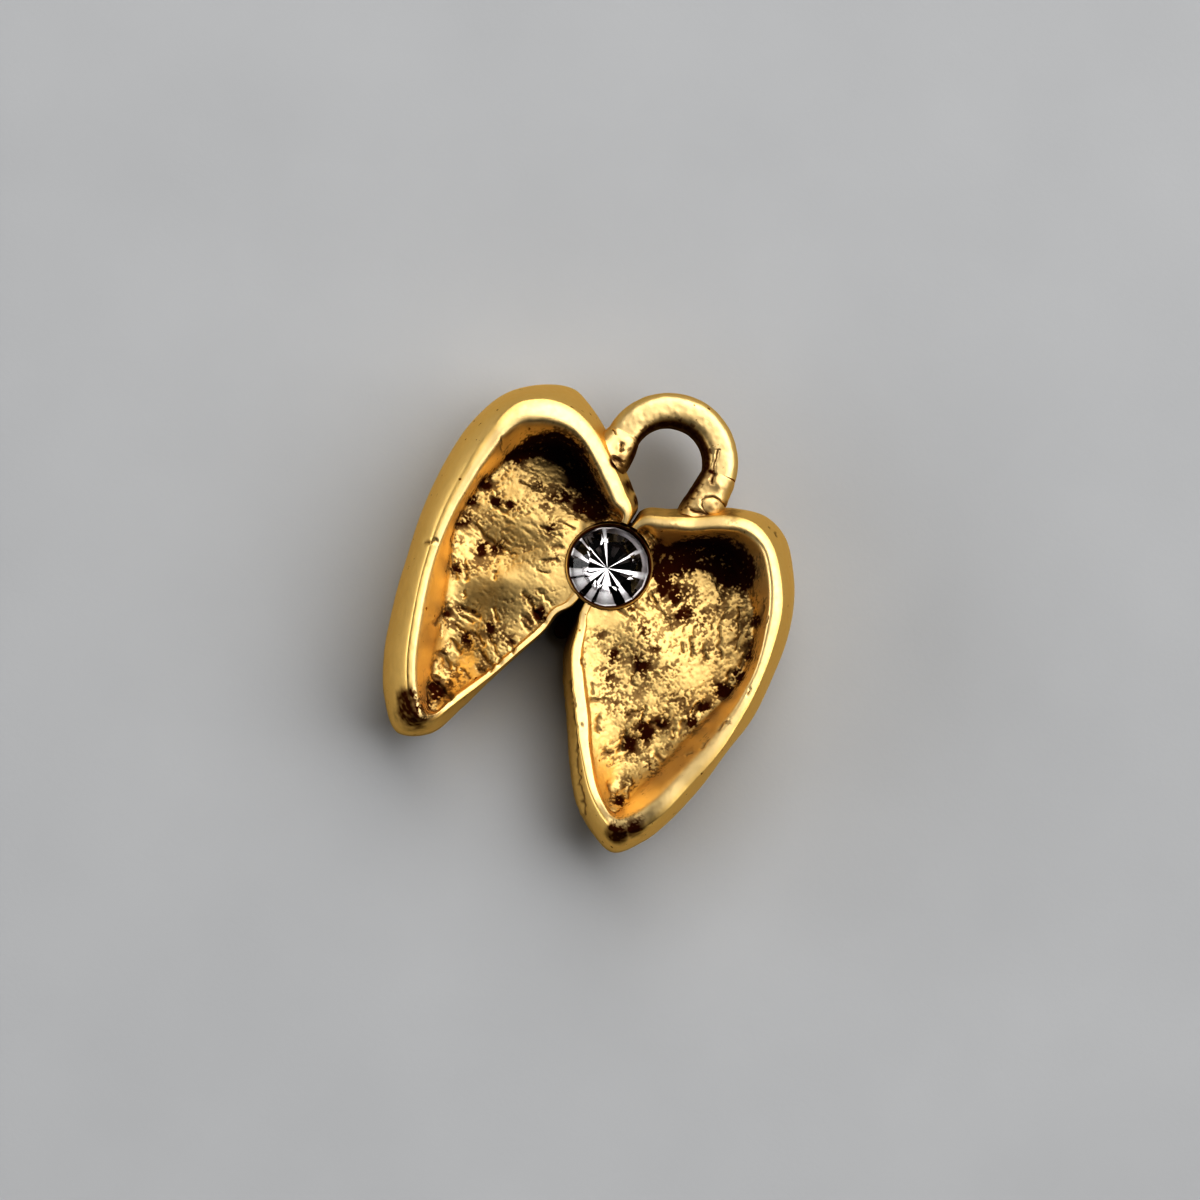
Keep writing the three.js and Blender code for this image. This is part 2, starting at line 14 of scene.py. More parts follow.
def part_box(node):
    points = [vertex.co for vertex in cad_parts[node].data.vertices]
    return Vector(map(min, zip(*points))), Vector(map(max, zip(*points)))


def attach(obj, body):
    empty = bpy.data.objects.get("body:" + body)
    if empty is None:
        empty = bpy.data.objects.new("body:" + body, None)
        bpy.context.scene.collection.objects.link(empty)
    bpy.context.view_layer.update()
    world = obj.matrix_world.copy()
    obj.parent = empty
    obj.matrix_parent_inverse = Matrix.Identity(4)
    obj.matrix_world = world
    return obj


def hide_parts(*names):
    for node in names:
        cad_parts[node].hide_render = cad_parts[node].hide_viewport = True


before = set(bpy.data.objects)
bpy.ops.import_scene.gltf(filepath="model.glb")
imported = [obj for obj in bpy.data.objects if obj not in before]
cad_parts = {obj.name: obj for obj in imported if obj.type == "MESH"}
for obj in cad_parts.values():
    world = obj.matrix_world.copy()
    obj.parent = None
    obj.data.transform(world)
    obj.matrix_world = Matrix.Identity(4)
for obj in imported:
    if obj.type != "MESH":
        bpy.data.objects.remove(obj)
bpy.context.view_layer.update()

MM = 0.001
stone_low, stone_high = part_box("crystal_stone")
stone_axis = (stone_low + stone_high) / 2
SHIFT = np.array([stone_axis.x, stone_axis.y, 0.0]) / MM

# Camera as the photograph was taken, on a square picture, and the level that seen places are brought to
CAMERA_PLACE = (-3.992, -29.516, 197.597)
CAMERA_RIGHT = (0.85544, 0.50949, 0.09294)
CAMERA_UP = (-0.51742, 0.84850, 0.11100)
CAMERA_LENS = 144.04
CAMERA_SENSOR = 36.0
SEEN_HEIGHT = 4.0

# Sizes shared with the CAD
JOINT_GAP = 0.05
WEB_WIDTH = 0.7
WEB_BOTTOM = 0.2
WEB_TOP = 1.0
WEB_ENDS = [(-0.25, -2.9), (-0.12, 2.0)]
SEAM_WIDTH = 0.1
SEAM_ENDS = [(-0.32, -4.0), (-0.08, 4.0)]
COLLAR_HEIGHT = 3.2
STONE_SINK = 0.12
STONE_RADIUS = 1.58
STONE_CROWN = 0.5
TABLE_SHARE = 0.6
LOOP_CENTRE = (-0.1, 5.02, 2.9)
LOOP_EYE_RADIUS = 1.42
LOOP_WIRE_WIDTH = 1.42
LOOP_WIRE_DEPTH = 1.8
LOOP_RADIUS = LOOP_EYE_RADIUS + LOOP_WIRE_WIDTH / 2
LOOP_RIGHT_END_DEGREES = 14
LOOP_LEFT_END_DEGREES = 181
BACK_FLAT = 0.12
BACK_FULLNESS = 2.5
SLOPE_EASE = 1.15
MOST_LAND = 0.85
SKIRT_HEIGHT = 0.5
SKIRT_REACH = 2.35

# Sizes of the looks alone. The crystal's girdle and pavilion are a little deeper than the CAD's, so that it
# reaches into the foil. The wings are cut close round the collar, by cutters that go right through them
STONE_GIRDLE = 0.12
STONE_PAVILION = 1.39
SEAT_CUT_RADIUS = 1.81
THROUGH_HEIGHTS = (-1, 9)

# The round post that cuts the seat's place is a bar whose ends are a hair apart, so no corners coincide
POST_ENDS = [(0, 0), (1e-6, 0)]

# How far the drawn wire's corners stand out, and the middle and half sizes of the right joint's blob
WIRE_SQUARENESS = 0.5
BLOB = (2.4, 4.2)
BLOB_HALVES = (0.55, 0.38)

# Where shade is painted dark between the wings, as lines with their half widths, and round the crystal
CROTCH_ENDS = [(-0.28, -1.9), (-0.2, -4.0)]
CROTCH_HALF_WIDTH = 0.75
SEAM_SHADE = [(-0.2, 1.4), (-0.1, 2.8)]
SEAM_SHADE_HALF_WIDTH = 0.17
SEAT_SHADE_RADIUS = 1.72
SEAT_SHADE_HEIGHTS = (2.9, 3.05)

# Each station gives the widest line, the rim's outer shoulder and the foot of its inner wall, as (x, y, z),
# then how wide the rim's land is, how the outer wall bends (1 is a quarter round, 2 is straight) and how
# steeply the land rises to its inner edge, whose height is the one given with the shoulder
LEFT_WING = [
    [(-0.2, 2.8, 2.2), (-0.35, 2.2, 3.7), (-0.6, 1.9, 3.0), (0.3, 1.2, 0.2)],
    [(-0.95, 3.55, 2.2), (-1.05, 2.85, 4.0), (-1.45, 2.0, 2.75), (0.65, 1.5, 0.2)],
    [(-2.1, 4.35, 2.2), (-2.1, 3.55, 4.3), (-2.4, 2.6, 2.1), (0.72, 1.6, 0.2)],
    [(-3.2, 5.05, 2.2), (-3.2, 4.2, 4.6), (-3.15, 3.05, 1.8), (0.85, 1.7, 0.2)],
    [(-4.15, 5.5, 2.2), (-4.15, 4.5, 4.8), (-3.85, 3.25, 1.75), (0.9, 1.8, 0.2)],
    [(-5.0, 5.7, 2.2), (-5.05, 4.5, 4.9), (-4.5, 3.1, 1.8), (0.95, 1.8, 0.2)],
    [(-6.1, 5.25, 2.2), (-5.95, 4.15, 5.0), (-5.15, 2.65, 1.9), (0.95, 1.7, 0.2)],
    [(-7.25, 4.15, 2.2), (-6.7, 3.4, 5.0), (-5.65, 2.05, 2.1), (0.85, 1.5, 0.15)],
    [(-7.85, 2.6, 2.2), (-6.95, 2.05, 5.0), (-5.98, 1.3, 2.2), (0.65, 1.3, 0.05)],
    [(-8.0, 0.7, 2.2), (-7.0, 0.05, 4.95), (-6.25, 0.05, 2.3), (0.48, 1.2, -0.1)],
    [(-7.8, -1.55, 2.2), (-6.85, -2.15, 4.92), (-6.25, -1.85, 2.4), (0.42, 1.2, -0.15)],
    [(-7.35, -3.65, 2.2), (-6.45, -4.15, 4.9), (-5.5, -3.55, 2.6), (0.36, 1.3, -0.15)],
    [(-6.8, -5.7, 2.2), (-5.8, -6.1, 4.9), (-4.75, -5.45, 2.7), (0.36, 1.4, -0.15)],
    [(-6.05, -7.75, 2.2), (-4.95, -8.0, 4.8), (-4.1, -7.25, 2.9), (0.36, 1.4, -0.15)],
    [(-5.1, -9.3, 2.1), (-4.15, -9.1, 4.6), (-3.6, -8.4, 3.1), (0.36, 1.4, -0.15)],
    [(-3.9, -10.25, 2.0), (-3.5, -9.6, 4.4), (-3.25, -8.9, 3.3), (0.36, 1.3, -0.15)],
    [(-2.7, -9.55, 1.8), (-3.0, -9.3, 4.0), (-2.95, -8.75, 3.3), (0.3, 1.2, -0.1)],
    [(-2.15, -7.95, 1.5), (-2.5, -8.1, 3.6), (-2.75, -7.9, 3.2), (0.2, 1.2, 0)],
    [(-1.7, -6.3, 1.4), (-1.85, -6.5, 3.4), (-2.1, -6.35, 3.1), (0.2, 1.2, 0)],
    [(-1.2, -4.6, 1.4), (-1.3, -4.8, 3.3), (-1.55, -4.7, 3.1), (0.2, 1.2, 0)],
    [(-0.85, -3.45, 1.4), (-0.95, -3.65, 3.2), (-1.2, -3.5, 3.05), (0.2, 1.2, 0)],
    [(-0.7, -2.6, 1.4), (-0.88, -2.85, 3.2), (-1.1, -2.7, 3.05), (0.2, 1.2, 0)],
    [(-0.35, -2.05, 1.4), (-0.5, -2.2, 3.2), (-0.8, -2.15, 3.1), (0.2, 1.2, 0)],
    [(-0.25, 0.4, 1.4), (-0.38, 0.15, 3.3), (-0.8, 0.15, 3.1), (0.2, 1.2, 0)],
]
LEFT_BACK_MIDDLE = (-4.1, -1.2, 0.0)

RIGHT_WING = [
    [(0.0, 2.85, 2.2), (0.12, 2.25, 3.7), (0.35, 1.95, 3.0), (0.3, 1.2, 0.2)],
    [(0.95, 3.5, 2.2), (1.0, 2.85, 4.0), (1.4, 1.95, 2.75), (0.45, 1.5, 0.2)],
    [(2.05, 4.2, 2.2), (2.05, 3.45, 4.2), (2.3, 2.55, 2.0), (0.6, 1.6, 0.2)],
    [(3.2, 4.9, 2.2), (3.1, 4.15, 4.5), (3.1, 3.05, 1.7), (0.7, 1.7, 0.2)],
    [(4.5, 5.3, 2.2), (4.15, 4.4, 4.7), (4.0, 3.2, 1.65), (0.6, 1.8, 0.2)],
    [(5.6, 5.0, 2.2), (5.15, 4.05, 4.8), (4.8, 2.9, 1.8), (0.5, 1.8, 0.2)],
    [(6.6, 4.0, 2.2), (6.05, 3.2, 4.85), (5.3, 2.4, 1.95), (0.5, 1.7, 0.2)],
    [(7.4, 2.7, 2.2), (6.85, 2.0, 4.9), (6.05, 1.65, 2.15), (0.55, 1.6, 0.15)],
    [(7.9, 1.2, 2.2), (7.3, 0.7, 4.9), (6.6, 0.75, 2.2), (0.55, 1.6, 0.12)],
    [(8.2, -0.65, 2.2), (7.65, -1.05, 4.9), (7.0, -0.65, 2.2), (0.55, 1.6, 0.1)],
    [(8.3, -2.25, 2.2), (7.75, -2.75, 4.9), (6.9, -2.25, 2.3), (0.55, 1.6, 0.05)],
    [(8.1, -3.95, 2.2), (7.7, -4.4, 4.9), (6.45, -3.85, 2.5), (0.6, 1.6, 0.05)],
    [(7.9, -5.85, 2.2), (7.35, -6.15, 4.85), (6.1, -5.65, 2.7), (0.6, 1.5, 0.05)],
    [(7.5, -7.65, 2.2), (6.95, -7.85, 4.8), (5.7, -7.15, 2.9), (0.6, 1.4, 0)],
    [(7.05, -8.85, 2.1), (6.45, -8.85, 4.6), (5.5, -8.1, 3.1), (0.6, 1.4, 0)],
    [(6.2, -9.9, 2.0), (5.8, -9.3, 4.4), (5.3, -8.6, 3.3), (0.5, 1.3, -0.1)],
    [(5.1, -9.65, 1.8), (5.2, -9.15, 4.1), (4.95, -8.55, 3.3), (0.4, 1.2, -0.15)],
    [(3.85, -8.85, 1.5), (4.1, -8.45, 3.7), (4.3, -8.05, 3.2), (0.3, 1.2, -0.15)],
    [(2.7, -7.45, 1.4), (2.95, -7.25, 3.5), (3.3, -6.9, 3.1), (0.35, 1.2, -0.15)],
    [(1.75, -6.05, 1.4), (1.95, -6.05, 3.4), (2.5, -5.7, 3.1), (0.5, 1.2, -0.15)],
    [(0.85, -4.8, 1.4), (1.1, -4.85, 3.35), (1.6, -4.55, 3.1), (0.45, 1.2, -0.15)],
    [(0.25, -3.8, 1.4), (0.5, -3.85, 3.3), (0.9, -3.6, 3.1), (0.35, 1.2, -0.1)],
    [(-0.05, -2.75, 1.4), (0.2, -2.8, 3.2), (0.55, -2.7, 3.1), (0.25, 1.2, 0)],
    [(-0.15, -2.05, 1.4), (-0.02, -2.25, 3.2), (0.25, -2.15, 3.1), (0.25, 1.2, 0)],
    [(-0.15, 0.4, 1.4), (-0.02, 0.15, 3.3), (0.3, 0.15, 3.1), (0.25, 1.2, 0)],
]
RIGHT_BACK_MIDDLE = (4.4, -1.2, 0.0)

# Heights of the modelled hollows and humps inside each dish, as (x, y, z)
LEFT_SPOTS = [
    (-5.0, 0.5, 2.35), (-4.0, 1.2, 2.4), (-3.0, 0.8, 2.7), (-2.4, 0.3, 3.03), (-1.9, 0.1, 3.02),
    (-5.3, -1.0, 2.35), (-4.0, -0.5, 2.6), (-2.8, -0.8, 2.9), (-2.4, -0.9, 3.08), (-1.85, -1.0, 3.06),
    (-4.8, -1.8, 2.3), (-3.6, -1.9, 2.65), (-2.3, -2.1, 3.1), (-3.3, -2.6, 2.95),
    (-4.4, -3.0, 2.65), (-2.0, -3.2, 3.0), (-2.6, -4.0, 2.85), (-3.6, -4.2, 2.6), (-4.5, -4.3, 2.5),
    (-4.3, -5.0, 2.45), (-4.0, -5.9, 2.4), (-3.2, -5.4, 2.65), (-2.4, -5.6, 2.95), (-2.6, -6.4, 2.85),
    (-3.5, -7.0, 2.45), (-3.3, -8.0, 2.6), (-2.9, -7.4, 2.85),
]
RIGHT_SPOTS = [
    (2.1, 0.6, 2.35), (2.2, -0.3, 2.5), (1.6, 1.5, 2.4), (3.0, 0.5, 2.25), (4.0, 0.8, 2.1),
    (5.0, 0.5, 2.15), (6.0, 0.2, 2.2), (3.5, -0.8, 2.55), (5.0, -1.0, 2.35), (6.0, -1.5, 2.3),
    (2.2, -1.5, 2.95), (3.0, -1.6, 2.85), (4.5, -2.0, 2.6), (2.0, -2.5, 2.9), (3.0, -3.3, 2.75),
    (4.5, -3.2, 2.6), (5.6, -3.4, 2.45), (1.8, -3.8, 2.95), (3.0, -4.6, 2.8), (4.4, -4.8, 2.6),
    (5.6, -5.0, 2.35), (3.6, -6.0, 2.75), (5.2, -6.2, 2.4), (4.2, -7.0, 2.65), (5.0, -7.4, 2.45),
    (4.9, -8.0, 2.7),
]

# Chisel slots as they are seen, as (x, y, x, y, half width, depth)
LEFT_SLOTS = [
    (-4.9, 1.0, -3.95, 1.08, 0.05, 0.12), (-2.9, 0.98, -1.8, 0.95, 0.05, 0.12),
    (-2.8, 0.42, -2.0, 0.46, 0.04, 0.1), (-3.3, -0.2, -2.3, -0.12, 0.05, 0.1),
    (-2.4, -0.7, -2.05, -0.47, 0.06, 0.12), (-2.5, -1.38, -1.95, -1.05, 0.06, 0.12),
    (-2.45, -1.8, -1.95, -1.65, 0.05, 0.1), (-1.95, -2.5, -1.2, -2.72, 0.07, 0.12),
    (-2.45, -2.95, -1.9, -3.15, 0.09, 0.2), (-1.9, -3.15, -1.3, -3.45, 0.12, 0.25),
    (-2.0, -3.75, -1.55, -3.8, 0.05, 0.1), (-1.8, -4.05, -1.4, -4.1, 0.07, 0.15),
    (-3.15, -4.15, -2.8, -4.4, 0.07, 0.16), (-1.95, -4.85, -1.6, -5.1, 0.05, 0.12),
    (-1.65, -5.1, -1.6, -5.25, 0.06, 0.12), (-3.2, -5.4, -2.8, -5.55, 0.1, 0.18),
    (-2.75, -5.2, -1.9, -5.65, 0.06, 0.14), (-1.85, -5.65, -1.85, -5.85, 0.07, 0.14),
    (-2.7, -5.95, -2.1, -6.15, 0.08, 0.18), (-2.1, -6.1, -1.95, -6.35, 0.08, 0.2),
    (-2.45, -6.55, -2.15, -6.45, 0.08, 0.16), (-4.2, -4.75, -3.5, -4.7, 0.08, 0.14),
    (-4.2, -5.05, -3.6, -5.05, 0.05, 0.1), (-4.2, -5.4, -3.55, -5.65, 0.07, 0.14),
    (-4.0, -6.1, -3.4, -6.35, 0.08, 0.16), (-4.8, -4.9, -4.6, -5.4, 0.07, 0.16),
    (-4.75, -5.4, -4.8, -5.85, 0.09, 0.18), (-4.65, -5.7, -4.45, -6.2, 0.04, 0.1),
    (-4.55, -4.1, -4.45, -4.35, 0.05, 0.12), (-4.05, -6.75, -3.5, -7.05, 0.11, 0.22),
    (-3.4, -6.95, -3.2, -7.05, 0.06, 0.12), (-3.0, -6.9, -2.55, -7.0, 0.06, 0.14),
    (-4.05, -7.2, -3.9, -7.6, 0.1, 0.2), (-3.85, -7.7, -3.3, -7.95, 0.1, 0.2),
    (-3.75, -8.1, -3.4, -8.5, 0.12, 0.18), (-3.15, -8.05, -2.7, -8.15, 0.1, 0.2),
    (-5.35, -0.5, -4.8, -0.4, 0.08, 0.1), (-5.5, -1.55, -5.0, -1.8, 0.08, 0.12),
    (-5.0, -1.8, -3.5, -1.75, 0.06, 0.1), (-5.7, -3.1, -5.1, -3.8, 0.09, 0.14),
    (-5.2, -3.0, -4.7, -3.7, 0.05, 0.1), (-3.9, -2.8, -3.8, -3.0, 0.06, 0.1),
    (-6.45, 2.1, -6.25, 1.8, 0.05, 0.1), (-6.35, 1.8, -6.15, 1.6, 0.03, 0.08),
    (-6.97, -3.25, -6.75, -3.05, 0.06, 0.16), (-6.75, -3.05, -6.5, -2.92, 0.04, 0.12),
]
RIGHT_SLOTS = [
    (3.8, 1.75, 4.6, 1.2, 0.05, 0.1), (4.3, 2.0, 4.9, 1.5, 0.04, 0.1), (4.3, 3.3, 4.1, 2.9, 0.04, 0.08),
    (2.0, -0.2, 2.7, -0.55, 0.06, 0.14), (2.7, -0.55, 3.4, -0.8, 0.05, 0.12),
    (1.1, -1.45, 2.0, -1.5, 0.05, 0.1), (1.6, -0.95, 2.1, -0.9, 0.06, 0.1),
    (3.1, 0.6, 3.15, -0.1, 0.04, 0.08), (3.4, -0.4, 3.5, -1.1, 0.04, 0.08),
    (3.85, 0.1, 3.95, -0.9, 0.04, 0.08), (4.3, -0.3, 4.4, -0.9, 0.04, 0.08),
    (4.35, -0.95, 4.8, -1.45, 0.07, 0.14), (4.95, -0.85, 5.3, -1.35, 0.07, 0.14),
    (4.1, -1.25, 4.4, -1.55, 0.06, 0.12), (4.6, 0.8, 4.85, -0.2, 0.04, 0.08),
    (5.0, 0.9, 5.1, 0.2, 0.05, 0.1), (5.15, 0.1, 5.5, -0.6, 0.05, 0.12), (5.5, -0.6, 5.9, -1.0, 0.05, 0.1),
    (5.4, 1.1, 5.9, 0.45, 0.05, 0.12), (5.9, 1.5, 6.05, 0.9, 0.05, 0.1), (6.05, 0.3, 6.15, -0.4, 0.06, 0.1),
    (6.55, 0.1, 6.7, -0.9, 0.07, 0.12), (6.45, -1.35, 6.75, -2.0, 0.08, 0.12),
    (3.0, -2.8, 3.2, -3.75, 0.05, 0.12), (3.2, -3.75, 3.35, -3.8, 0.05, 0.1),
    (3.75, -5.0, 4.15, -4.5, 0.05, 0.12), (4.15, -4.3, 4.4, -4.95, 0.05, 0.14),
    (4.65, -4.75, 5.15, -4.7, 0.08, 0.12), (5.95, -3.0, 5.9, -3.6, 0.05, 0.14),
    (6.15, -3.0, 6.1, -3.4, 0.07, 0.1), (5.85, -4.0, 6.0, -4.6, 0.08, 0.14),
    (5.75, -4.6, 5.8, -4.95, 0.06, 0.12),
    (2.2, -5.2, 2.6, -4.95, 0.08, 0.14), (1.8, -4.6, 2.15, -4.95, 0.05, 0.1),
    (2.75, -5.6, 3.05, -6.15, 0.09, 0.14), (4.1, -5.7, 4.25, -6.4, 0.1, 0.14),
    (3.75, -6.7, 4.0, -6.65, 0.06, 0.1), (5.5, -5.7, 5.9, -5.75, 0.12, 0.16),
    (5.5, -6.3, 5.85, -6.4, 0.08, 0.12),
    (4.6, -7.85, 5.1, -8.15, 0.1, 0.14), (5.25, -7.2, 5.45, -7.9, 0.07, 0.12),
    (1.0, -4.0, 1.25, -4.25, 0.05, 0.1), (2.3, -6.3, 2.4, -6.4, 0.05, 0.1),
    (7.28, -3.05, 7.3, -3.6, 0.06, 0.1), (7.0, -4.25, 7.05, -4.5, 0.08, 0.14),
    (6.7, -4.9, 6.65, -5.2, 0.05, 0.1),
    (7.45, -1.5, 7.5, -1.75, 0.04, 0.08), (6.65, 1.45, 6.68, 1.25, 0.04, 0.08),
    (6.2, 1.8, 6.3, 1.2, 0.09, 0.12), (4.75, 4.68, 4.85, 4.65, 0.05, 0.06),
    (5.15, 4.58, 5.22, 4.52, 0.05, 0.06),
]

# The parting line along the right wing's lower edge: a fine groove, and the ridge just outside it
RIGHT_GROOVE = [
    (1.0, -5.0), (1.5, -5.6), (2.0, -6.3), (2.5, -6.95), (3.0, -7.75), (3.5, -8.4), (4.0, -8.95), (4.4, -9.4),
]
RIGHT_RIDGE = [
    (0.75, -4.95), (1.3, -5.7), (1.8, -6.4), (2.3, -7.05), (2.8, -7.8), (3.3, -8.45), (3.8, -9.0),
    (4.2, -9.35),
]

# Places where the casting was left smooth and bright, as (x, y, radius)
LEFT_SMOOTH = [
    (-1.6, -0.2, 0.45), (-1.7, 0.6, 0.35), (-1.5, -1.5, 0.5), (-1.0, -2.2, 0.45), (-5.0, 0.4, 0.2),
    (-4.9, -1.4, 0.2), (-2.3, -2.5, 0.4), (-3.0, -2.8, 0.45), (-3.7, -3.2, 0.4), (-3.5, -4.0, 0.35),
    (-4.3, -4.0, 0.4), (-4.6, -6.6, 0.5), (-3.6, -6.6, 0.2), (-1.2, -4.4, 0.3), (-2.6, -7.7, 0.3),
]
RIGHT_SMOOTH = [
    (0.6, -2.2, 0.45), (1.2, -2.0, 0.3), (1.75, 0.9, 0.4), (1.75, 0.2, 0.4),
    (5.9, 2.3, 0.5), (1.7, -5.0, 0.35), (2.3, -5.8, 0.4), (2.9, -6.9, 0.5), (3.6, -7.6, 0.5),
    (4.2, -8.3, 0.45), (3.9, -7.3, 0.45), (5.6, -5.1, 0.35), (6.1, -6.6, 0.5), (5.7, -7.8, 0.35),
]

# Hollows under the top rims, painted dark for their shade and for the antique finish left in them, as a line
# round each
LEFT_BOWL = [
    (-5.9, 1.5), (-5.7, 2.2), (-5.35, 2.9), (-4.85, 3.4), (-4.1, 3.7), (-3.4, 3.6), (-2.65, 3.2),
    (-1.95, 2.5), (-1.2, 2.1), (-1.45, 1.75), (-2.05, 1.75), (-2.75, 1.9), (-3.4, 2.05), (-4.05, 2.3),
    (-4.7, 2.25), (-5.3, 1.7),
]
RIGHT_BOWL = [
    (1.8, 2.05), (2.6, 3.0), (3.3, 3.4), (4.0, 3.6), (5.0, 3.4), (5.5, 2.85), (5.35, 2.15), (4.4, 1.7),
    (3.6, 1.7), (2.8, 1.4), (2.45, 0.7), (2.35, 0.05), (1.75, 0.45), (1.45, 1.2),
]

# Places where some of the finish stays, and where shade and the tips' dark reflections are painted, as (x, y,
# radius, share that it covers)
LEFT_SHADES = [
    (-5.35, 2.4, 0.4, 0.7), (-5.5, 1.8, 0.35, 0.65), (-4.7, 3.1, 0.4, 0.8), (-6.15, 0.2, 0.25, 0.6),
    (-6.2, -0.7, 0.25, 0.6), (-6.05, -1.6, 0.25, 0.6), (-5.75, -2.5, 0.25, 0.55), (-5.2, -3.4, 0.3, 0.5),
    (-4.95, -1.25, 0.3, 0.5), (-4.75, -0.1, 0.15, 0.9), (-5.25, -0.3, 0.2, 0.9), (-4.8, -2.15, 0.28, 0.85),
    (-4.25, -1.9, 0.25, 0.8), (-3.3, -1.35, 0.25, 0.6), (-3.0, 1.3, 0.28, 0.8), (-2.3, 1.35, 0.3, 0.85),
    (-1.65, 1.25, 0.22, 0.85), (-1.4, 1.65, 0.3, 0.8), (-2.9, 0.0, 0.22, 0.55), (-2.3, 0.15, 0.2, 0.55),
    (-4.25, 1.25, 0.2, 0.5), (-3.9, -2.8, 0.3, 0.35), (-2.15, -1.2, 0.2, 0.45), (-2.15, -2.9, 0.25, 0.7),
    (-1.45, -3.2, 0.25, 0.75), (-1.4, -2.35, 0.18, 0.7), (-4.65, -5.25, 0.22, 0.75), (-3.85, -4.6, 0.25, 0.7),
    (-3.05, -4.7, 0.25, 0.55), (-2.65, -3.55, 0.25, 0.5), (-1.8, -3.95, 0.3, 0.5), (-4.3, -4.75, 0.2, 0.6),
    (-2.9, -3.9, 0.25, 0.55), (-2.05, -4.85, 0.3, 0.55), (-2.4, -6.25, 0.3, 0.6), (-3.05, -7.6, 0.3, 0.75),
    (-4.0, -6.5, 0.25, 0.65), (-3.35, -5.9, 0.3, 0.55), (-3.2, -8.15, 0.28, 0.85), (-3.6, -7.9, 0.3, 0.8),
    (-4.15, -9.0, 0.4, 1.0), (-3.75, -9.4, 0.5, 1.0), (-1.9, 3.75, 0.25, 0.95), (-0.95, 3.2, 0.25, 0.85),
    (-0.35, 2.8, 0.2, 0.85), (-4.3, -5.6, 0.25, 0.6),
]
RIGHT_SHADES = [
    (1.6, 1.45, 0.35, 0.95), (1.85, 0.65, 0.3, 0.95), (2.3, 0.05, 0.3, 0.9), (2.1, -0.4, 0.25, 0.8),
    (2.9, 0.2, 0.3, 0.7), (1.6, -1.05, 0.22, 0.6), (3.4, 0.65, 0.35, 0.5), (3.5, -0.25, 0.35, 0.55),
    (4.4, -0.5, 0.35, 0.4), (4.3, 0.55, 0.3, 0.3), (4.6, 1.35, 0.3, 0.75), (5.2, 1.85, 0.3, 0.75),
    (5.9, 1.9, 0.25, 0.6), (6.35, 1.15, 0.22, 0.7), (6.4, 0.1, 0.25, 0.5), (6.8, -0.3, 0.22, 0.75),
    (6.75, -1.2, 0.25, 0.75), (6.6, -2.1, 0.28, 0.7), (6.3, -3.1, 0.25, 0.75), (6.1, -3.95, 0.25, 0.8),
    (5.3, -4.5, 0.28, 0.75), (4.8, -5.25, 0.3, 0.75), (4.35, -6.0, 0.3, 0.8), (5.8, -5.3, 0.28, 0.7),
    (5.6, -6.4, 0.3, 0.75), (5.2, -7.4, 0.3, 0.7), (5.2, -8.1, 0.25, 0.85), (1.2, -2.7, 0.25, 0.7),
    (1.9, -3.1, 0.25, 0.6), (2.55, -1.6, 0.3, 0.5), (3.45, -2.0, 0.3, 0.5), (3.2, -2.9, 0.28, 0.55),
    (4.4, -2.25, 0.35, 0.45), (5.6, -0.85, 0.35, 0.5), (5.7, 0.0, 0.3, 0.55), (2.6, -4.05, 0.3, 0.35),
    (5.1, -2.9, 0.35, 0.35), (7.05, -4.25, 0.14, 0.6), (7.4, -3.1, 0.12, 0.5), (3.9, -6.6, 0.25, 0.5),
    (5.8, -9.25, 0.35, 1.0), (6.3, -8.7, 0.3, 1.0), (0.5, 2.8, 0.3, 0.35), (1.2, 3.2, 0.4, 0.45),
    (3.2, 4.4, 0.35, 0.5), (4.2, -7.0, 0.3, 0.5),
]

# The casting's texture: how wide its lumps are, how far the grain stretches them along itself, across and
# up, how high they stand, how deep the finish lies in them, and the slow swell of the whole skin
GRAIN_SIZES = (0.2, 0.1, 0.07)
GRAIN_STRETCH = (2.2, 1.0, 1.5)
GRAIN_HEIGHTS = (0.008, 0.007, 0.006)
FINISH_DEPTH = 0.012
SWELL_SIZES_AND_HEIGHTS = [(1.3, 0.01), (0.35, 0.003), (0.12, 0.001)]

# Fineness of the meshes
AROUND_WING = 620
CURVE_SAMPLES = 6001
OUTLINE_STRIDE = 4
FOOT_POINTS = 62
FLOOR_MARGIN = 0.7
BACK_RINGS = 14
WALL_RINGS = 34
LAND_RINGS = 9
SLOPE_RINGS = 20
SHEET_STEP = 0.045
WIRE_AROUND = 110
LOOP_STEPS = 300
JOINT_STEPS = 110

# How many rounds and how strongly a wing's edges and floor are eased, and how far round the foot
EDGE_EASING = (14, 0.6)
FLOOR_EASING = (20, 0.7)
EASED_FOOT_WIDTH = 0.16

# How much wider than its radius a soft spot reaches, and the numbers that scramble the lumps
SPOT_REACH = 1.55
NOISE_PRIMES = np.array([73856093, 19349663, 83492791])


def mix(a, b, share):
    return a + (b - a) * share


def smoothstep(low, high, value):
    share = np.clip((value - low) / (high - low), 0, 1)
    return share * share * (3 - 2 * share)


def lumps(places, size, seed):
    """Smooth lumps between -1 and 1, about as wide as the size, and never the same for two seeds."""
    scaled = places / size + 500.0
    corner = np.floor(scaled).astype(np.int64)
    share = smoothstep(0, 1, scaled - corner)
    total = np.zeros(len(places))
    for step in np.ndindex(*(2,) * places.shape[1]):
        lattice = ((corner + step) * NOISE_PRIMES[: places.shape[1]]).sum(axis=1) + seed * 668265263
        mixed = (lattice ^ (lattice >> 13)) * 1274126177 & 0x7FFFFFFF
        mixed = (mixed ^ (mixed >> 15)) & 0xFFFFF
        weight = np.prod(np.where(step, share, 1 - share), axis=1)
        total += weight * (mixed / 0x7FFFF - 1)
    return total


